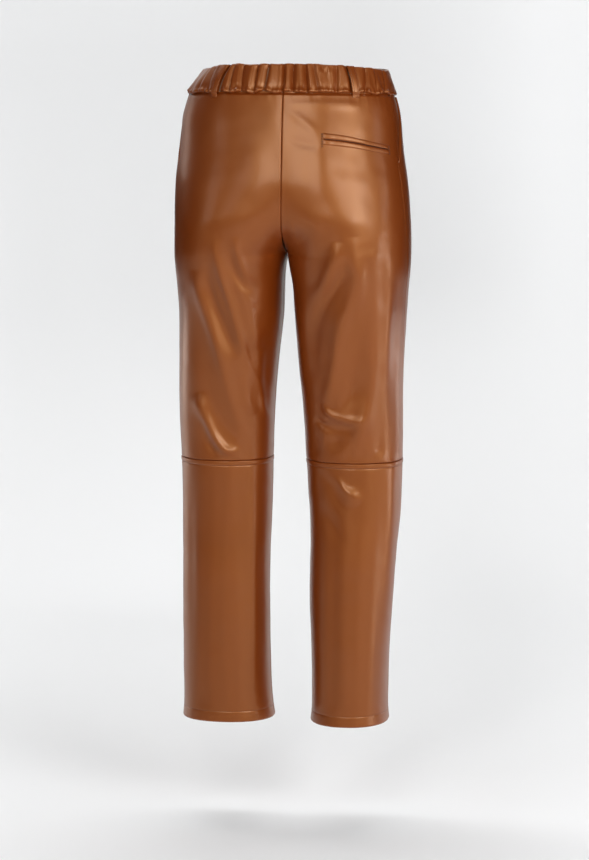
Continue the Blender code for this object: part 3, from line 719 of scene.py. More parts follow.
# ------------------------------------------------------------ finishes
class Value:
    """One output of a finish's nodes. Sums, differences and products add Math nodes."""

    def __init__(self, finish, socket):
        self.finish = finish
        self.socket = socket

    def worked(self, operation, *terms):
        """A Math node on some values or numbers."""
        return self.finish.node("ShaderNodeMath", {"operation": operation},
                                dict(enumerate(terms)))

    def __add__(self, other):
        return self.worked("ADD", self, other)

    def __radd__(self, other):
        return self.worked("ADD", other, self)

    def __sub__(self, other):
        return self.worked("SUBTRACT", self, other)

    def __rsub__(self, other):
        return self.worked("SUBTRACT", other, self)

    def __mul__(self, other):
        return self.worked("MULTIPLY", self, other)

    def __rmul__(self, other):
        return self.worked("MULTIPLY", other, self)


class Finish:
    """A material under construction."""

    def __init__(self, name):
        self.material = bpy.data.materials.new(name)
        self.material.use_nodes = True
        self.tree = self.material.node_tree
        self.shader = self.tree.nodes["Principled BSDF"]
        self.place = self.node("ShaderNodeTexCoord", {}, {}, "Object")

    def node(self, kind, settings, inputs, output=0):
        """Add a node: its settings, then the values or links of its sockets."""
        node = self.tree.nodes.new(kind)
        for name, value in settings.items():
            setattr(node, name, value)
        for name, value in inputs.items():
            self.feed(node.inputs[name], value)
        return Value(self, node.outputs[output])

    def feed(self, socket, value):
        """Link a value to a socket, or set the socket to a number or colour."""
        if isinstance(value, Value):
            self.tree.links.new(value.socket, socket)
        elif hasattr(socket.default_value, "__len__") and len(socket.default_value) == 4:
            socket.default_value = (*value[:3], 1.0)
        else:
            socket.default_value = value

    def noise(self, scale, detail=2.0, roughness=0.5, stretch=(1.0, 1.0, 1.0)):
        """Cloudy unevenness from 0 to 1, so many to the metre."""
        place = self.node("ShaderNodeMapping", {}, {"Vector": self.place, "Scale": stretch})
        return self.node("ShaderNodeTexNoise", {}, {"Vector": place, "Scale": scale,
                                                    "Detail": detail, "Roughness": roughness})

    def mixed(self, factor, first, second):
        """A colour between two others."""
        return self.node("ShaderNodeMix", {"data_type": "RGBA"},
                         {0: factor, 6: first, 7: second}, 2)

    def surface(self, **values):
        """Set or link the shader's sockets."""
        for name, value in values.items():
            self.feed(self.shader.inputs[name.replace("_", " ")], value)

    def bump(self, height, distance, strength):
        """Fine relief, for the shader's Normal."""
        return self.node("ShaderNodeBump", {}, {"Height": height, "Distance": distance,
                                                "Strength": strength})

    def clear_from_behind(self):
        """Keep only the front of the surface: its back lets everything through."""
        behind = self.node("ShaderNodeNewGeometry", {}, {}, "Backfacing")
        clear = self.node("ShaderNodeBsdfTransparent", {}, {})
        finished = Value(self, self.shader.outputs[0])
        sheet = self.node("ShaderNodeMixShader", {}, {0: behind, 1: finished, 2: clear})
        self.tree.links.new(sheet.socket, self.tree.nodes["Material Output"].inputs["Surface"])


def scaled(colour, factor):
    """A colour made lighter or darker."""
    return tuple(channel * factor for channel in colour)


def grained_leather():
    """Satin faux leather: a fine pebbled grain, cloudy dye, and gloss that varies."""
    looks = bpy.context.scene.trouser_looks
    colour = tuple(looks.leather)
    finish = Finish("cognac_faux_leather")
    cells = finish.node("ShaderNodeTexVoronoi", {"feature": "SMOOTH_F1"},
                        {"Vector": finish.place, "Scale": looks.grain, "Smoothness": 0.6},
                        "Distance")
    pebble = finish.noise(looks.grain * 0.55, 3.0, 0.6)
    cloud = finish.noise(9.0, 3.0, 0.55)
    streak = finish.noise(60.0, 2.0, 0.5, (1.0, 1.0, 0.12))
    tone = finish.mixed(cloud, scaled(colour, 0.90), scaled(colour, 1.10))
    tone = finish.mixed(0.35 * cells, tone, scaled(colour, 0.72))
    finish.surface(Base_Color=tone,
                   Roughness=looks.roughness - 0.07 + 0.10 * cloud + 0.05 * streak,
                   Coat_Weight=0.17 + 0.12 * streak,
                   Coat_Roughness=looks.coat_roughness,
                   Specular_IOR_Level=looks.specular,
                   Specular_Tint=tuple(looks.gloss),
                   IOR=1.56,
                   Normal=finish.bump(cells * 0.7 + pebble * 0.5, 0.00012, looks.grain_bump))
    return finish.material


def knit_backing():
    """The brushed knit that the faux leather is laid on, seen inside the legs."""
    looks = bpy.context.scene.trouser_looks
    colour = tuple(looks.backing)
    finish = Finish("knit_backing")
    rows = finish.node("ShaderNodeTexWave", {"bands_direction": "Z"},
                       {"Vector": finish.place, "Scale": 420.0, "Distortion": 2.0, "Detail": 1.0})
    fluff = finish.noise(900.0, 3.0, 0.7)
    finish.surface(Base_Color=finish.mixed(fluff, scaled(colour, 0.82), scaled(colour, 1.12)),
                   Roughness=0.92 + 0.06 * fluff,
                   Specular_IOR_Level=0.2,
                   Sheen_Weight=0.3,
                   Normal=finish.bump(0.6 * rows + 0.6 * fluff, 0.0002, 0.5))
    return finish.material


def twisted_thread():
    """Tone-on-tone polyester thread."""
    looks = bpy.context.scene.trouser_looks
    colour = tuple(looks.thread)
    finish = Finish("brown_thread")
    ply = finish.node("ShaderNodeTexWave", {"bands_direction": "DIAGONAL"},
                      {"Vector": finish.place, "Scale": 900.0, "Distortion": 1.0})
    finish.surface(Base_Color=finish.mixed(ply, scaled(colour, 0.8), scaled(colour, 1.15)),
                   Roughness=0.45 + 0.2 * ply,
                   Normal=finish.bump(ply, 0.00008, 0.6))
    return finish.material


def shadowed_lining():
    """The dark inside of a pocket's mouth."""
    finish = Finish("pocket_shadow")
    grain = finish.noise(800.0, 2.0, 0.6)
    finish.surface(Base_Color=finish.mixed(grain, (0.018, 0.008, 0.005), (0.035, 0.014, 0.008)),
                   Roughness=0.85 + 0.1 * grain,
                   Specular_IOR_Level=0.2)
    return finish.material


def studio_paper(name, colour, roughness, one_sided=False):
    """Paper with a barely uneven tone."""
    finish = Finish(name)
    tone = finish.noise(1.2, 2.0, 0.5)
    finish.surface(Base_Color=finish.mixed(tone, scaled(colour, 0.985), scaled(colour, 1.015)),
                   Roughness=roughness + 0.05 * tone,
                   Specular_IOR_Level=0.3)
    if one_sided:
        finish.clear_from_behind()
    return finish.material


# Each finish is made when a piece first asks for it.
FINISHES = {
    "cognac_faux_leather": grained_leather,
    "knit_backing": knit_backing,
    "brown_thread": twisted_thread,
    "pocket_shadow": shadowed_lining,
}
LINED = ("cognac_faux_leather", "knit_backing")
UNLINED = ("cognac_faux_leather",)


# ------------------------------------------------------------ sizes and colours
class TrouserSizes(PropertyGroup):
    """Sizes of the making: cloth, seams and stitches."""

    cloth: FloatProperty(name="Cloth", description="Thickness of the faux leather and its knit",
                         default=0.0013, min=0.0005, max=0.003, unit="LENGTH")
    hem_cloth: FloatProperty(name="Hem", description="Thickness of the turned-up hem",
                             default=0.0027, min=0.001, max=0.004, unit="LENGTH")
    roll_width: FloatProperty(name="Seam roll",
                              description="How near to a seam the cloth turns down",
                              default=0.0018, min=0.001, max=0.006, unit="LENGTH")
    roll_depth: FloatProperty(name="Seam depth",
                              description="How deep the cloth turns down at a seam",
                              default=0.0012, min=0.0, max=0.002, unit="LENGTH")
    allowance: FloatProperty(name="Seam allowance",
                             description="Rise of the pressed knee allowance",
                             default=0.0006, min=0.0, max=0.002, unit="LENGTH")
    groove_depth: FloatProperty(name="Stitch groove depth",
                                description="How far a row of stitches pulls in",
                                default=0.0006, min=0.0, max=0.002, unit="LENGTH")
    groove_width: FloatProperty(name="Stitch groove width", description="Width of that groove",
                                default=0.0022, min=0.0005, max=0.005, unit="LENGTH")
    knee_stitch_below: FloatProperty(name="Knee stitches",
                                     description="Distance below the knee seam",
                                     default=0.0075, min=0.002, max=0.02, unit="LENGTH")
    hem_stitch_above: FloatProperty(name="Hem stitches",
                                    description="Distance above the hem's edge",
                                    default=0.0160, min=0.005, max=0.04, unit="LENGTH")
    stitch_length: FloatProperty(name="Stitch length", description="Length of one stitch",
                                 default=0.0027, min=0.001, max=0.006, unit="LENGTH")
    stitch_space: FloatProperty(name="Stitch space", description="Gap between two stitches",
                                default=0.0009, min=0.0002, max=0.003, unit="LENGTH")
    thread: FloatProperty(name="Thread", description="Radius of the thread",
                          default=0.00028, min=0.0001, max=0.001, unit="LENGTH")
    band_rise: FloatProperty(name="Gather height", description="Crest of the waistband's gathers",
                             default=0.0034, min=0.001, max=0.006, unit="LENGTH")


class TrouserLooks(PropertyGroup):
    """Colours and gloss."""

    leather: FloatVectorProperty(name="Leather", description="Colour of the faux leather",
                                 default=(0.150, 0.0245, 0.0016),
                                 size=3, min=0.0, max=1.0, subtype="COLOR")
    gloss: FloatVectorProperty(name="Gloss", description="Colour of the leather's reflections",
                               default=(1.0, 0.52, 0.19), size=3, min=0.0, max=1.0, subtype="COLOR")
    backing: FloatVectorProperty(name="Backing", description="Colour of the knit inside",
                                 default=(0.230, 0.130, 0.075),
                                 size=3, min=0.0, max=1.0, subtype="COLOR")
    thread: FloatVectorProperty(name="Thread", description="Colour of the stitching",
                                default=(0.130, 0.032, 0.008),
                                size=3, min=0.0, max=1.0, subtype="COLOR")
    roughness: FloatProperty(name="Roughness", description="Middle roughness of the leather",
                             default=0.40, min=0.0, max=1.0, subtype="FACTOR")
    coat_roughness: FloatProperty(name="Coat roughness",
                                  description="Roughness of the thin gloss on it",
                                  default=0.22, min=0.0, max=1.0, subtype="FACTOR")
    specular: FloatProperty(name="Specular", description="Strength of the leather's reflections",
                            default=1.0, min=0.0, max=1.0, subtype="FACTOR")
    grain: FloatProperty(name="Grain", description="Pebbles of the grain in a metre",
                         default=1100.0, min=200.0, max=4000.0)
    grain_bump: FloatProperty(name="Grain depth", description="Strength of the grain's relief",
                              default=0.30, min=0.0, max=1.0, subtype="FACTOR")
    floor: FloatVectorProperty(name="Floor", description="Colour of the floor and backdrop",
                               default=(0.88, 0.885, 0.89),
                               size=3, min=0.0, max=1.0, subtype="COLOR")


# ------------------------------------------------------------ the pieces
def upper_grid_rows():
    """Heights of the upper panels' rows, at the inner end and at the side."""
    top, end = WAIST_SEAM + TUCK, KNEE_SEAM + SEAM_GAP / 2.0
    # Below this height the rows fan out, and crowd together at the crotch.
    fan = -0.192
    waist = spaced(top, fan, 84)
    waist = waist[waist > fan + 0.002]
    crotch = np.arange(42) / 42
    thigh = CROTCH + (end - CROTCH) * (np.arange(150) / 150) ** 1.2
    thigh = np.concatenate([thigh[thigh > end + 0.0042], end + EDGE_STEPS[::-1]])
    inner = np.concatenate([waist, CROTCH + (fan - CROTCH) * (1.0 - crotch) ** 2, thigh])
    outer = np.concatenate([waist, fan + (CROTCH - fan) * crotch, thigh])
    return inner, outer


def lower_grid_rows(sizes):
    """Heights of the lower panels' rows, closer together at the rows of stitches."""
    rows = spaced(KNEE_SEAM - SEAM_GAP / 2.0, HEM, 150, marks=stitch_levels(sizes))
    return rows, rows


def seam_shape(level, points, height, sizes):
    """How far a panel's face departs from the cloth: it rolls down at every seam,
    is tucked in under the waistband, and puckers below it."""
    to_inner, to_outer = away_from_ends(points)
    side_roll = np.where(height < MOUTH_END, 0.45, 1.0)
    shape = rolled(to_inner, sizes) + side_roll * rolled(to_outer, sizes)
    if level == "lower":
        shape += rolled(KNEE_SEAM - height, sizes)
        shape -= 0.0008 * np.clip(1.0 - (height - HEM) / 0.0022, 0.0, 1.0) ** 2
        return np.maximum(shape, -sizes.roll_depth)
    shape = np.maximum(shape + rolled(height - KNEE_SEAM, sizes), -sizes.roll_depth)
    below = WAIST_SEAM - height
    pucker = ease(0.0, 0.002, below) * np.exp(-np.maximum(below, 0.0) / 0.007)
    shape -= 0.0030 * ease(0.0034, 0.0008, below)
    return shape + 0.00035 * pucker * waves(points * [1.0, 1.0, 0.15], 51, 6, 0.007, 0.018)


def make_panel(level, part, side):
    """One of the eight panels."""
    sizes = bpy.context.scene.trouser_sizes
    width, length, area, columns = PANELS[level, part]
    inner, outer = upper_grid_rows() if level == "upper" else lower_grid_rows(sizes)
    fractions = spaced(0.0, GRID_WIDTH, columns) / GRID_WIDTH
    turn, height = panel_turns(side, part, inner, outer, fractions,
                               side_seam if part == "back" else mouth)
    points, normal = cloth(side, turn, height)
    face = points + normal * seam_shape(level, points, height, sizes)[..., None]
    depth = np.where(height < stitch_levels(sizes)[1], sizes.hem_cloth, sizes.cloth)
    name = part + "_" + level + "_" + side
    piece = shell(name + "_panel", face, face - normal * depth[..., None], LINED)
    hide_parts(name)


def ruler(side):
    """Turns along the band's middle from the centre back, and their distances."""
    turns = 1.0 - edge(0.0) - np.linspace(0.0, 0.25, 400)
    steps = np.linalg.norm(np.diff(skin(side, turns, 0.0), axis=0), axis=1)
    return turns, np.concatenate([[0.0], np.cumsum(steps)])


def band_point(distance, height, lift):
    """Points on the back of the waistband, so far from the centre back."""
    points = np.empty(distance.shape + (3,))
    for side, here in (("left", distance < 0.0), ("right", distance >= 0.0)):
        turns, marks = ruler(side)
        turn = np.interp(np.abs(distance[here]), marks, turns)
        normal = outward(side, turn, height[here])[0]
        points[here] = skin(side, turn, height[here]) + normal * lift[here][:, None]
    return points


def band_top_drop(distance):
    """How much lower the band's top edge is, so far from the centre back."""
    return np.interp(distance, *np.array(TOP_DROP).T)


def band_lean(distance, level):
    """How far the band leans in, so far from the centre back. Level is 0 at the waist
    seam and 1 at the top edge."""
    return np.interp(distance, *np.array(BAND_LEAN).T) * level ** 1.5


def gathered(distance, level):
    """How deep the gathers pull the back band in, a little less at the top edge."""
    pull = np.zeros(distance.shape)
    for foot, shift, bow, depth, before, after in GATHERS:
        away = distance - foot - shift * level - bow * 4.0 * level * (1.0 - level)
        width = GATHER_WIDTH * np.where(away < 0.0, before, after)
        pull += depth * (1.0 - np.clip(np.abs(away) / width, 0.0, 1.0)) ** GATHER_STEEP
    return GATHER_DEPTH * pull * (1.0 - 0.25 * ease(0.8, 1.0, level))


def make_back_band():
    """The gathered half of the waistband: cloth pulled into valleys, pinched where
    the elastic is sewn, with a lip over the puckered seam below it."""
    sizes = bpy.context.scene.trouser_sizes
    ends = {side: np.interp(-side_seam(0.0), -ruler(side)[0], ruler(side)[1]) for side in SIDES}
    across = spaced(-ends["left"] + SEAM_GAP / 2.0, ends["right"] - SEAM_GAP / 2.0, 620)
    distance, up = np.broadcast_arrays(across[None, :], spaced(0.0, BAND_HEIGHT, 46)[:, None])
    level, down = up / BAND_HEIGHT, BAND_HEIGHT - up
    flow = np.stack([distance, 0.1 * up, 0.0 * up], axis=-1)
    lean = band_lean(distance, level)
    lift = sizes.band_rise - lean + 0.00055 * waves(flow, 21, 9, 0.007, 0.020)
    lift -= gathered(distance, level)
    crinkled = bell(distance, 0.062, 0.013) * bell(up, 0.037, 0.007)
    lift += 0.0006 * crinkled * waves(flow * [1.0, 2.5, 0.0], 43, 6, 0.0045, 0.009)
    lip = 0.0008 * bell(up, 0.0030, 0.0022) - 0.0003 * bell(up, 0.0090, 0.0040)
    lift += lip * (0.75 + 0.45 * waves(flow, 5, 6, 0.009, 0.024))
    lift += 0.0008 * bell(up, 0.0, 0.009) * waves(flow, 33, 5, 0.0055, 0.010)
    lift += 0.0003 * bell(down, 0.0, 0.006) * waves(flow, 9, 6, 0.006, 0.012)
    lift += 1.6 * rolled(up, sizes) + rolled(down, sizes)
    scallop = 0.0015 * waves(flow * [1.0, 0.0, 0.0], 31, 6, 0.018, 0.036)
    height = WAIST_SEAM + up - band_top_drop(distance) * level + scallop * bell(level, 0.0, 0.25)
    height = height + 0.0006 * waves(flow, 13, 5, 0.02, 0.05) * bell(level, 1.0, 0.2)
    piece = shell("waistband_back_band", band_point(distance, height, lift),
                  band_point(distance, height, -0.0022 - lean), LINED)
    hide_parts("waistband_back")


def make_front_band():
    """The flat half of the waistband."""
    sizes = bpy.context.scene.trouser_sizes
    start, end = edge(0.0), side_seam(0.0)
    part = spaced(0.0, 0.17, 90) / 0.17
    up = spaced(0.0, BAND_HEIGHT, 24)[:, None]
    halves = []
    for side, way in SIDES.items():
        side_end = -0.19 * way
        drop = band_top_drop(side_end) * part ** 2
        turn, height = np.broadcast_arrays(start + (end - start) * part,
                                           WAIST_SEAM + up * (1.0 - drop / BAND_HEIGHT))
        points, normal = skin(side, turn, height), outward(side, turn, height)[0]
        lift = (FRONT_BAND_RISE + 0.0003 * waves(points, 17, 8, 0.02, 0.06)
                + 0.0002 * waves(points, 3, 6, 0.008, 0.02))
        lift += rolled(up, sizes) + rolled(BAND_HEIGHT - up, sizes)
        lean = band_lean(side_end, up / BAND_HEIGHT) * part ** 3
        halves.append((points + normal * (lift - lean)[..., None],
                       points - normal * (0.0009 + lean)[..., None]))
    face, inside = (np.concatenate([left[:, :0:-1], right], axis=1)
                    for left, right in zip(*halves))
    piece = shell("waistband_front_band", face, inside, LINED)
    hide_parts("waistband_front")


def make_loop(name):
    """A belt loop: a folded strip, stitched along both edges."""
    side, foot, top = LOOPS[name]
    half = name.split("_")[0]
    low, high = WAIST_SEAM - 0.0075, BAND_TOP - 0.0010
    band, distance = FRONT_BAND_RISE, 0.0
    if half == "back":
        band = bpy.context.scene.trouser_sizes.band_rise
        distance = -SIDES[side] * np.interp(-top, -ruler(side)[0], ruler(side)[1])
        high -= band_top_drop(distance)
    height = spaced(low, high, 40)
    above = height - WAIST_SEAM
    # How far off the plain surface the strip's underside runs.
    off = 0.0004 + (band - 0.0002) * ease(-0.0045, 0.0005, above)
    if half == "back":
        off -= band_lean(distance, np.clip(above, 0.0, 1.0) / BAND_HEIGHT)
    off += 0.0020 * np.sin(np.pi * np.clip(above / (high - WAIST_SEAM), 0.0, 1.0))
    across = np.linspace(-1.0, 1.0, 15)
    middle = foot + (top - foot) * (height - low) / (high - low)
    turn = np.stack([beside(side, middle, height, LOOP_HALF * a) for a in across], axis=1)
    tall = np.broadcast_to(height[:, None], turn.shape)
    crown = 0.0016 + 0.0004 * (1.0 - across ** 4) - 0.00035 * bell(np.abs(across), 0.66, 0.12)
    crown = crown * np.clip(1.25 - np.abs(across) ** 8 * 0.45, 0.0, 1.0)
    base, normal = skin(side, turn, tall), outward(side, turn, tall)[0]
    face = base + normal * (off[:, None] + crown)[..., None]
    piece = shell("belt_loop_" + name + "_strip", face, base + normal * off[:, None, None],
                  UNLINED)
    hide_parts("belt_loop_" + name)
    lines = [(face[1:-1, column], normal[1:-1, column]) for column in (3, 11)]
    lines += [(face[row, 2:-2], normal[row, 2:-2]) for row in (2, 4)]
    stitches("belt_loop_" + name + "_stitches", lines)


def pocket_strip(low_turn, high_turn, upper, lower, rise):
    """A strip lying on the right back panel between two curves of the pocket."""
    count = 90
    turn = np.linspace(low_turn, high_turn, count)
    up, down = upper(turn), lower(turn)
    part = np.linspace(0.0, 1.0, 11)
    height = up[:, None] + (down - up)[:, None] * part
    turn = np.broadcast_to(turn[:, None], height.shape)
    points, normal = cloth("right", turn, height)
    round_off = 1.0 - np.abs(2.0 * part - 1.0) ** 4
    ends = np.clip(np.minimum(np.arange(count), np.arange(count)[::-1]) / 3.0, 0.0, 1.0)
    lift = 0.0002 + rise * (0.35 + 0.65 * round_off) * (0.55 + 0.45 * ends)[:, None]
    lift = lift + 0.00012 * waves(points, 41, 6, 0.01, 0.03)
    return points + normal * lift[..., None], points - normal * 0.0002


def make_back_pocket():
    """Two welts with a dark mouth between them, and a bar tack at each end."""
    first, last = POCKET[0][TURN], POCKET[-1][TURN]
    gap = 0.0005

    def line(column, shift=0.0):
        return lambda turn: at(POCKET, column, turn) + shift

    for name, upper, lower in (("upper", line(UPPER_EDGE), line(MOUTH, gap)),
                               ("lower", line(MOUTH, -gap), line(LOWER_EDGE))):
        face, inside = pocket_strip(first, last, upper, lower, 0.0013)
        piece = shell("pocket_welt_" + name + "_strip", face, inside, UNLINED)
        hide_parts("pocket_welt_" + name)
    face, inside = pocket_strip(first - 0.001, last + 0.001,
                                line(MOUTH, 0.0008), line(MOUTH, -0.0008), 0.0003)
    shell("pocket_mouth_shadow", face, inside, ("pocket_shadow",))
    lines = []
    for turn in (first + 0.0015, last - 0.0015):
        high, low = at(POCKET, UPPER_EDGE, turn) + 0.001, at(POCKET, LOWER_EDGE, turn) - 0.004
        height = np.linspace(high, low, 24)
        for shift in (-0.0008, 0.0, 0.0008):
            place = beside("right", np.full(24, turn), height, shift)
            points, normal = cloth("right", place, height)
            lines.append((points + normal * 0.0012, normal))
    stitches("pocket_bar_tacks", lines)


def make_facing(side):
    """The cloth that shows in a slanted side pocket, under the front panel."""
    height = spaced(WAIST_SEAM - SEAM_GAP / 2.0, MOUTH_END - 0.010, 46)
    start, end = mouth(height) - 0.015, side_seam(height)
    part = np.linspace(0.0, 1.0, 26)
    turn = start[:, None] + (end - start)[:, None] * part
    tall = np.broadcast_to(height[:, None], turn.shape)
    turn[:, -1] = beside(side, turn[:, -1], tall[:, -1], -SEAM_GAP / 2.0)
    points, normal = cloth(side, turn, tall)
    top = points - normal * (0.0003 + 0.0024 * ease(0.0, 0.8, 1.0 - part))[..., None]
    piece = shell("pocket_facing_" + side + "_piece", top, top - normal * 0.0010, LINED)
    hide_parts("pocket_facing_" + side)


def make_seam_stitches():
    """Rows of stitches under the knee seams, above the hems and along the pockets."""
    count = 260
    levels = stitch_levels(bpy.context.scene.trouser_sizes)
    for side in SIDES:
        for row, level in zip(("knee", "hem"), levels):
            stitches(row + "_stitches_" + side,
                     [cloth(side, np.linspace(start, end, count), np.full(count, level))
                      for start, end in ((0.004, 0.497), (0.505, 0.996))])
        height = np.linspace(WAIST_SEAM - 0.004, MOUTH_END + 0.002, 120)
        turn = beside(side, mouth(height), height, -0.006)
        stitches("pocket_stitches_" + side, [cloth(side, turn, height)])


# ------------------------------------------------------------ stage
# The floor lies as far below the hems as shoes would reach, and curves up into the
# backdrop.
FLOOR = -1.126
FLOOR_END = 4.5
BACKDROP = -2.6
BACKDROP_HEIGHT = 6.0
HALF_WIDTH = 7.0
CORNER = 1.1
CORNER_STEPS = 24
# Each dark card's side (minus is left of the camera's view) and the height of its top,
# and its two upright edges: distance to that side and towards the camera.
CARDS = (("left_card", -1.0, -0.10), ("right_card", 1.0, 0.25))
CARD_EDGES = ((0.50, 0.15), (0.64, -1.60))
CARD_FOOT = -0.42
CARD_COLOUR = (0.020, 0.012, 0.008)
SKY_COLOUR = (0.97, 0.985, 1.0, 1.0)
SKY_STRENGTH = 0.02
LIT_POINT = Vector((0.0, 0.0, -0.35))
LAMP_DISTANCE = 3.2
# Name, degrees to the right of the camera and above level, size and power of each lamp.
SOFTBOXES = (
    ("key_softbox", 35.0, 12.0, (1.7, 0.9), 52.0),
    ("high_key_softbox", 28.0, 28.0, (1.2, 0.9), 9.0),
    ("front_softbox", -10.0, 12.0, (1.0, 0.9), 20.0),
    ("high_front_softbox", -10.0, 28.0, (0.9, 0.9), 19.0),
    ("left_front_softbox", -33.0, 14.0, (0.8, 0.8), 6.0),
    ("left_softbox", -60.0, 12.0, (0.9, 0.9), 6.5),
    ("right_softbox", 75.0, 12.0, (0.9, 0.9), 7.5),
    ("low_right_softbox", 75.0, -8.0, (1.2, 0.5), 15.0),
    ("rear_left_softbox", -120.0, 12.0, (0.9, 0.9), 5.0),
    ("low_rear_left_softbox", -120.0, -8.0, (1.2, 0.5), 7.0),
    ("rear_right_softbox", 130.0, -8.0, (1.2, 0.5), 10.0),
)
# The camera stands at the fold tables' eye. It looks down by an angle, and to the
# right by so many metres in each metre.
FOCAL_LENGTH = 150.3
SENSOR_WIDTH = 36.0
LOOKING_DOWN = math.radians(7.9)
LOOKING_RIGHT = 2.5 / 3591.0


def add_softbox(name, place, aim, size, power):
    """A soft rectangular lamp at a place, turned towards its aim."""
    lamp = bpy.data.lights.new(name, "AREA")
    lamp.shape = "RECTANGLE"
    lamp.size, lamp.size_y = size
    lamp.energy = power
    holder = bpy.data.objects.new(name, lamp)
    holder.location = place
    holder.rotation_euler = (aim - place).to_track_quat("-Z", "Y").to_euler()
    bpy.context.scene.collection.objects.link(holder)


def add_stage_sheet(name, points, faces, material):
    """A sheet of paper or card that belongs to the stage."""
    mesh = bpy.data.meshes.new(name)
    mesh.from_pydata(points, [], faces)
    mesh.shade_smooth()
    mesh.materials.append(material)
    sheet = bpy.data.objects.new(name, mesh)
    bpy.context.scene.collection.objects.link(sheet)
    return sheet


def lay_backdrop():
    """A pale seamless floor that curves up into the backdrop."""
    colour = tuple(bpy.context.scene.trouser_looks.floor)
    profile = [(FLOOR_END, FLOOR)]
    for step in range(CORNER_STEPS + 1):
        angle = math.pi / 2.0 * step / CORNER_STEPS
        profile.append((BACKDROP + CORNER * (1.0 - math.sin(angle)),
                        FLOOR + CORNER * (1.0 - math.cos(angle))))
    profile.append((BACKDROP, FLOOR + BACKDROP_HEIGHT))
    points = [(x, y, z) for y, z in profile for x in (-HALF_WIDTH, HALF_WIDTH)]
    faces = [(j, j + 1, j - 1, j - 2) for j in range(2, len(points), 2)]
    add_stage_sheet("seamless_backdrop", points, faces,
                    studio_paper("seamless_paper", colour, 0.6, one_sided=True))


def stand_cards():
    """Dark cards that keep the backdrop's glare off the hips, unseen by the camera."""
    finish = studio_paper("dark_card", CARD_COLOUR, 0.8)
    near, far = CARD_EDGES
    for name, way, top in CARDS:
        corners = [(*(way * right * EYE_RIGHT + nearer * EYE_NEAR)[:2], height)
                   for (right, nearer), height in ((near, CARD_FOOT), (far, CARD_FOOT),
                                                   (far, top), (near, top))]
        card = add_stage_sheet(name, corners, [(0, 1, 2, 3)], finish)
        card.visible_camera = False


def hang_lamps():
    """The softboxes round the trousers, a high one for the backdrop, and a dim sky."""
    for name, turned, raised, size, power in SOFTBOXES:
        around, up = EYE_TURN + math.radians(turned), math.radians(raised)
        way = Vector((math.sin(around) * math.cos(up), -math.cos(around) * math.cos(up),
                      math.sin(up)))
        add_softbox(name, LIT_POINT + LAMP_DISTANCE * way, LIT_POINT, size, power)
    add_softbox("backdrop_softbox", Vector((0.9, -1.0, 3.4)), Vector((0.9, BACKDROP, 0.2)),
                (5.0, 1.2), 121.0)
    world = bpy.data.worlds.new("studio")
    world.use_nodes = True
    sky = world.node_tree.nodes["Background"].inputs
    sky["Color"].default_value = SKY_COLOUR
    sky["Strength"].default_value = SKY_STRENGTH
    bpy.context.scene.world = world
    bpy.context.scene.view_settings.view_transform = "Standard"


def set_camera():
    """The camera, behind the trousers and a little above them."""
    lens = bpy.data.cameras.new("camera")
    lens.lens = FOCAL_LENGTH
    lens.sensor_width = SENSOR_WIDTH
    camera = bpy.data.objects.new("camera", lens)
    right, near, up = Vector(EYE_RIGHT), Vector(EYE_NEAR), Vector((0.0, 0.0, 1.0))
    camera.location = near * EYE_DISTANCE + up * EYE_HEIGHT
    look = (right * LOOKING_RIGHT - near * math.cos(LOOKING_DOWN)
            - up * math.sin(LOOKING_DOWN))
    camera.rotation_euler = look.to_track_quat("-Z", "Y").to_euler()
    bpy.context.scene.collection.objects.link(camera)
    bpy.context.scene.camera = camera


# ------------------------------------------------------------ operators
class TROUSERS_OT_upper_panels(Operator):
    """Build the four panels from the waist seam to the knee seam"""
    bl_idname = "trousers.upper_panels"
    bl_label = "Upper Panels"

    def execute(self, context):
        for side in SIDES:
            make_panel("upper", "back", side)
            make_panel("upper", "front", side)
        return {"FINISHED"}


class TROUSERS_OT_lower_panels(Operator):
    """Build the four panels from the knee seam to the hem"""
    bl_idname = "trousers.lower_panels"
    bl_label = "Lower Panels"

    def execute(self, context):
        for side in SIDES:
            make_panel("lower", "back", side)
            make_panel("lower", "front", side)
        return {"FINISHED"}


class TROUSERS_OT_waistband(Operator):
    """Build the gathered back and the flat front of the waistband"""
    bl_idname = "trousers.waistband"
    bl_label = "Waistband"

    def execute(self, context):
        make_back_band()
        make_front_band()
        return {"FINISHED"}


class TROUSERS_OT_belt_loops(Operator):
    """Build the four belt loops with their stitches"""
    bl_idname = "trousers.belt_loops"
    bl_label = "Belt Loops"

    def execute(self, context):
        for name in LOOPS:
            make_loop(name)
        return {"FINISHED"}


class TROUSERS_OT_back_pocket(Operator):
    """Build the double-welt pocket on the right back panel"""
    bl_idname = "trousers.back_pocket"
    bl_label = "Back Pocket"

    def execute(self, context):
        make_back_pocket()
        return {"FINISHED"}


class TROUSERS_OT_side_pockets(Operator):
    """Build the facings that show in the slanted side pockets"""
    bl_idname = "trousers.side_pockets"
    bl_label = "Side Pockets"

    def execute(self, context):
        for side in SIDES:
            make_facing(side)
        return {"FINISHED"}


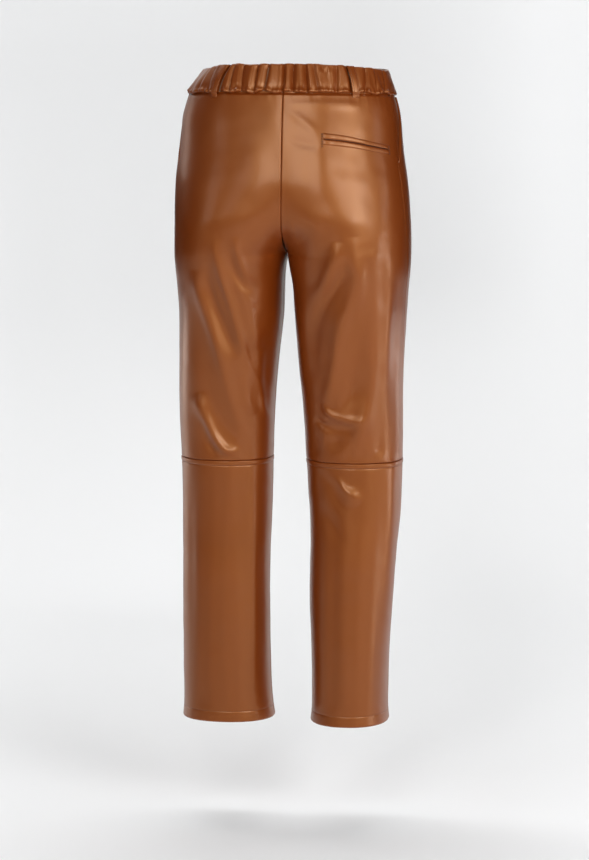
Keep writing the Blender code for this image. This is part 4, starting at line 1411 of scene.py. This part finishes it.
class TROUSERS_OT_seam_stitches(Operator):
    """Sew the visible rows of stitches on the panels"""
    bl_idname = "trousers.seam_stitches"
    bl_label = "Seam Stitches"

    def execute(self, context):
        make_seam_stitches()
        return {"FINISHED"}


class TROUSERS_OT_stage(Operator):
    """Set up the floor, the lights and the camera"""
    bl_idname = "trousers.stage"
    bl_label = "Stage"

    def execute(self, context):
        lay_backdrop()
        stand_cards()
        hang_lamps()
        set_camera()
        return {"FINISHED"}


OPERATORS = (
    TROUSERS_OT_upper_panels,
    TROUSERS_OT_lower_panels,
    TROUSERS_OT_waistband,
    TROUSERS_OT_belt_loops,
    TROUSERS_OT_back_pocket,
    TROUSERS_OT_side_pockets,
    TROUSERS_OT_seam_stitches,
    TROUSERS_OT_stage,
)


class TROUSERS_PT_panel(Panel):
    """Sizes, colours and pieces of the trousers"""
    bl_label = "Trousers"
    bl_idname = "TROUSERS_PT_panel"
    bl_space_type = "VIEW_3D"
    bl_region_type = "UI"
    bl_category = "Trousers"

    def draw(self, context):
        for heading, group in (("Sizes", context.scene.trouser_sizes),
                               ("Looks", context.scene.trouser_looks)):
            box = self.layout.box()
            box.label(text=heading)
            for name in group.__annotations__:
                box.prop(group, name)
        column = self.layout.column(align=True)
        for operator in OPERATORS:
            column.operator(operator.bl_idname)


CLASSES = (TrouserSizes, TrouserLooks, *OPERATORS, TROUSERS_PT_panel)


def register():
    for each in CLASSES:
        bpy.utils.register_class(each)
    bpy.types.Scene.trouser_sizes = PointerProperty(type=TrouserSizes)
    bpy.types.Scene.trouser_looks = PointerProperty(type=TrouserLooks)


def unregister():
    del bpy.types.Scene.trouser_looks
    del bpy.types.Scene.trouser_sizes
    for each in reversed(CLASSES):
        bpy.utils.unregister_class(each)


def main():
    register()
    bpy.ops.trousers.upper_panels()
    bpy.ops.trousers.lower_panels()
    bpy.ops.trousers.waistband()
    bpy.ops.trousers.belt_loops()
    bpy.ops.trousers.back_pocket()
    bpy.ops.trousers.side_pockets()
    bpy.ops.trousers.seam_stitches()
    bpy.ops.trousers.stage()


if __name__ == "__main__":
    main()
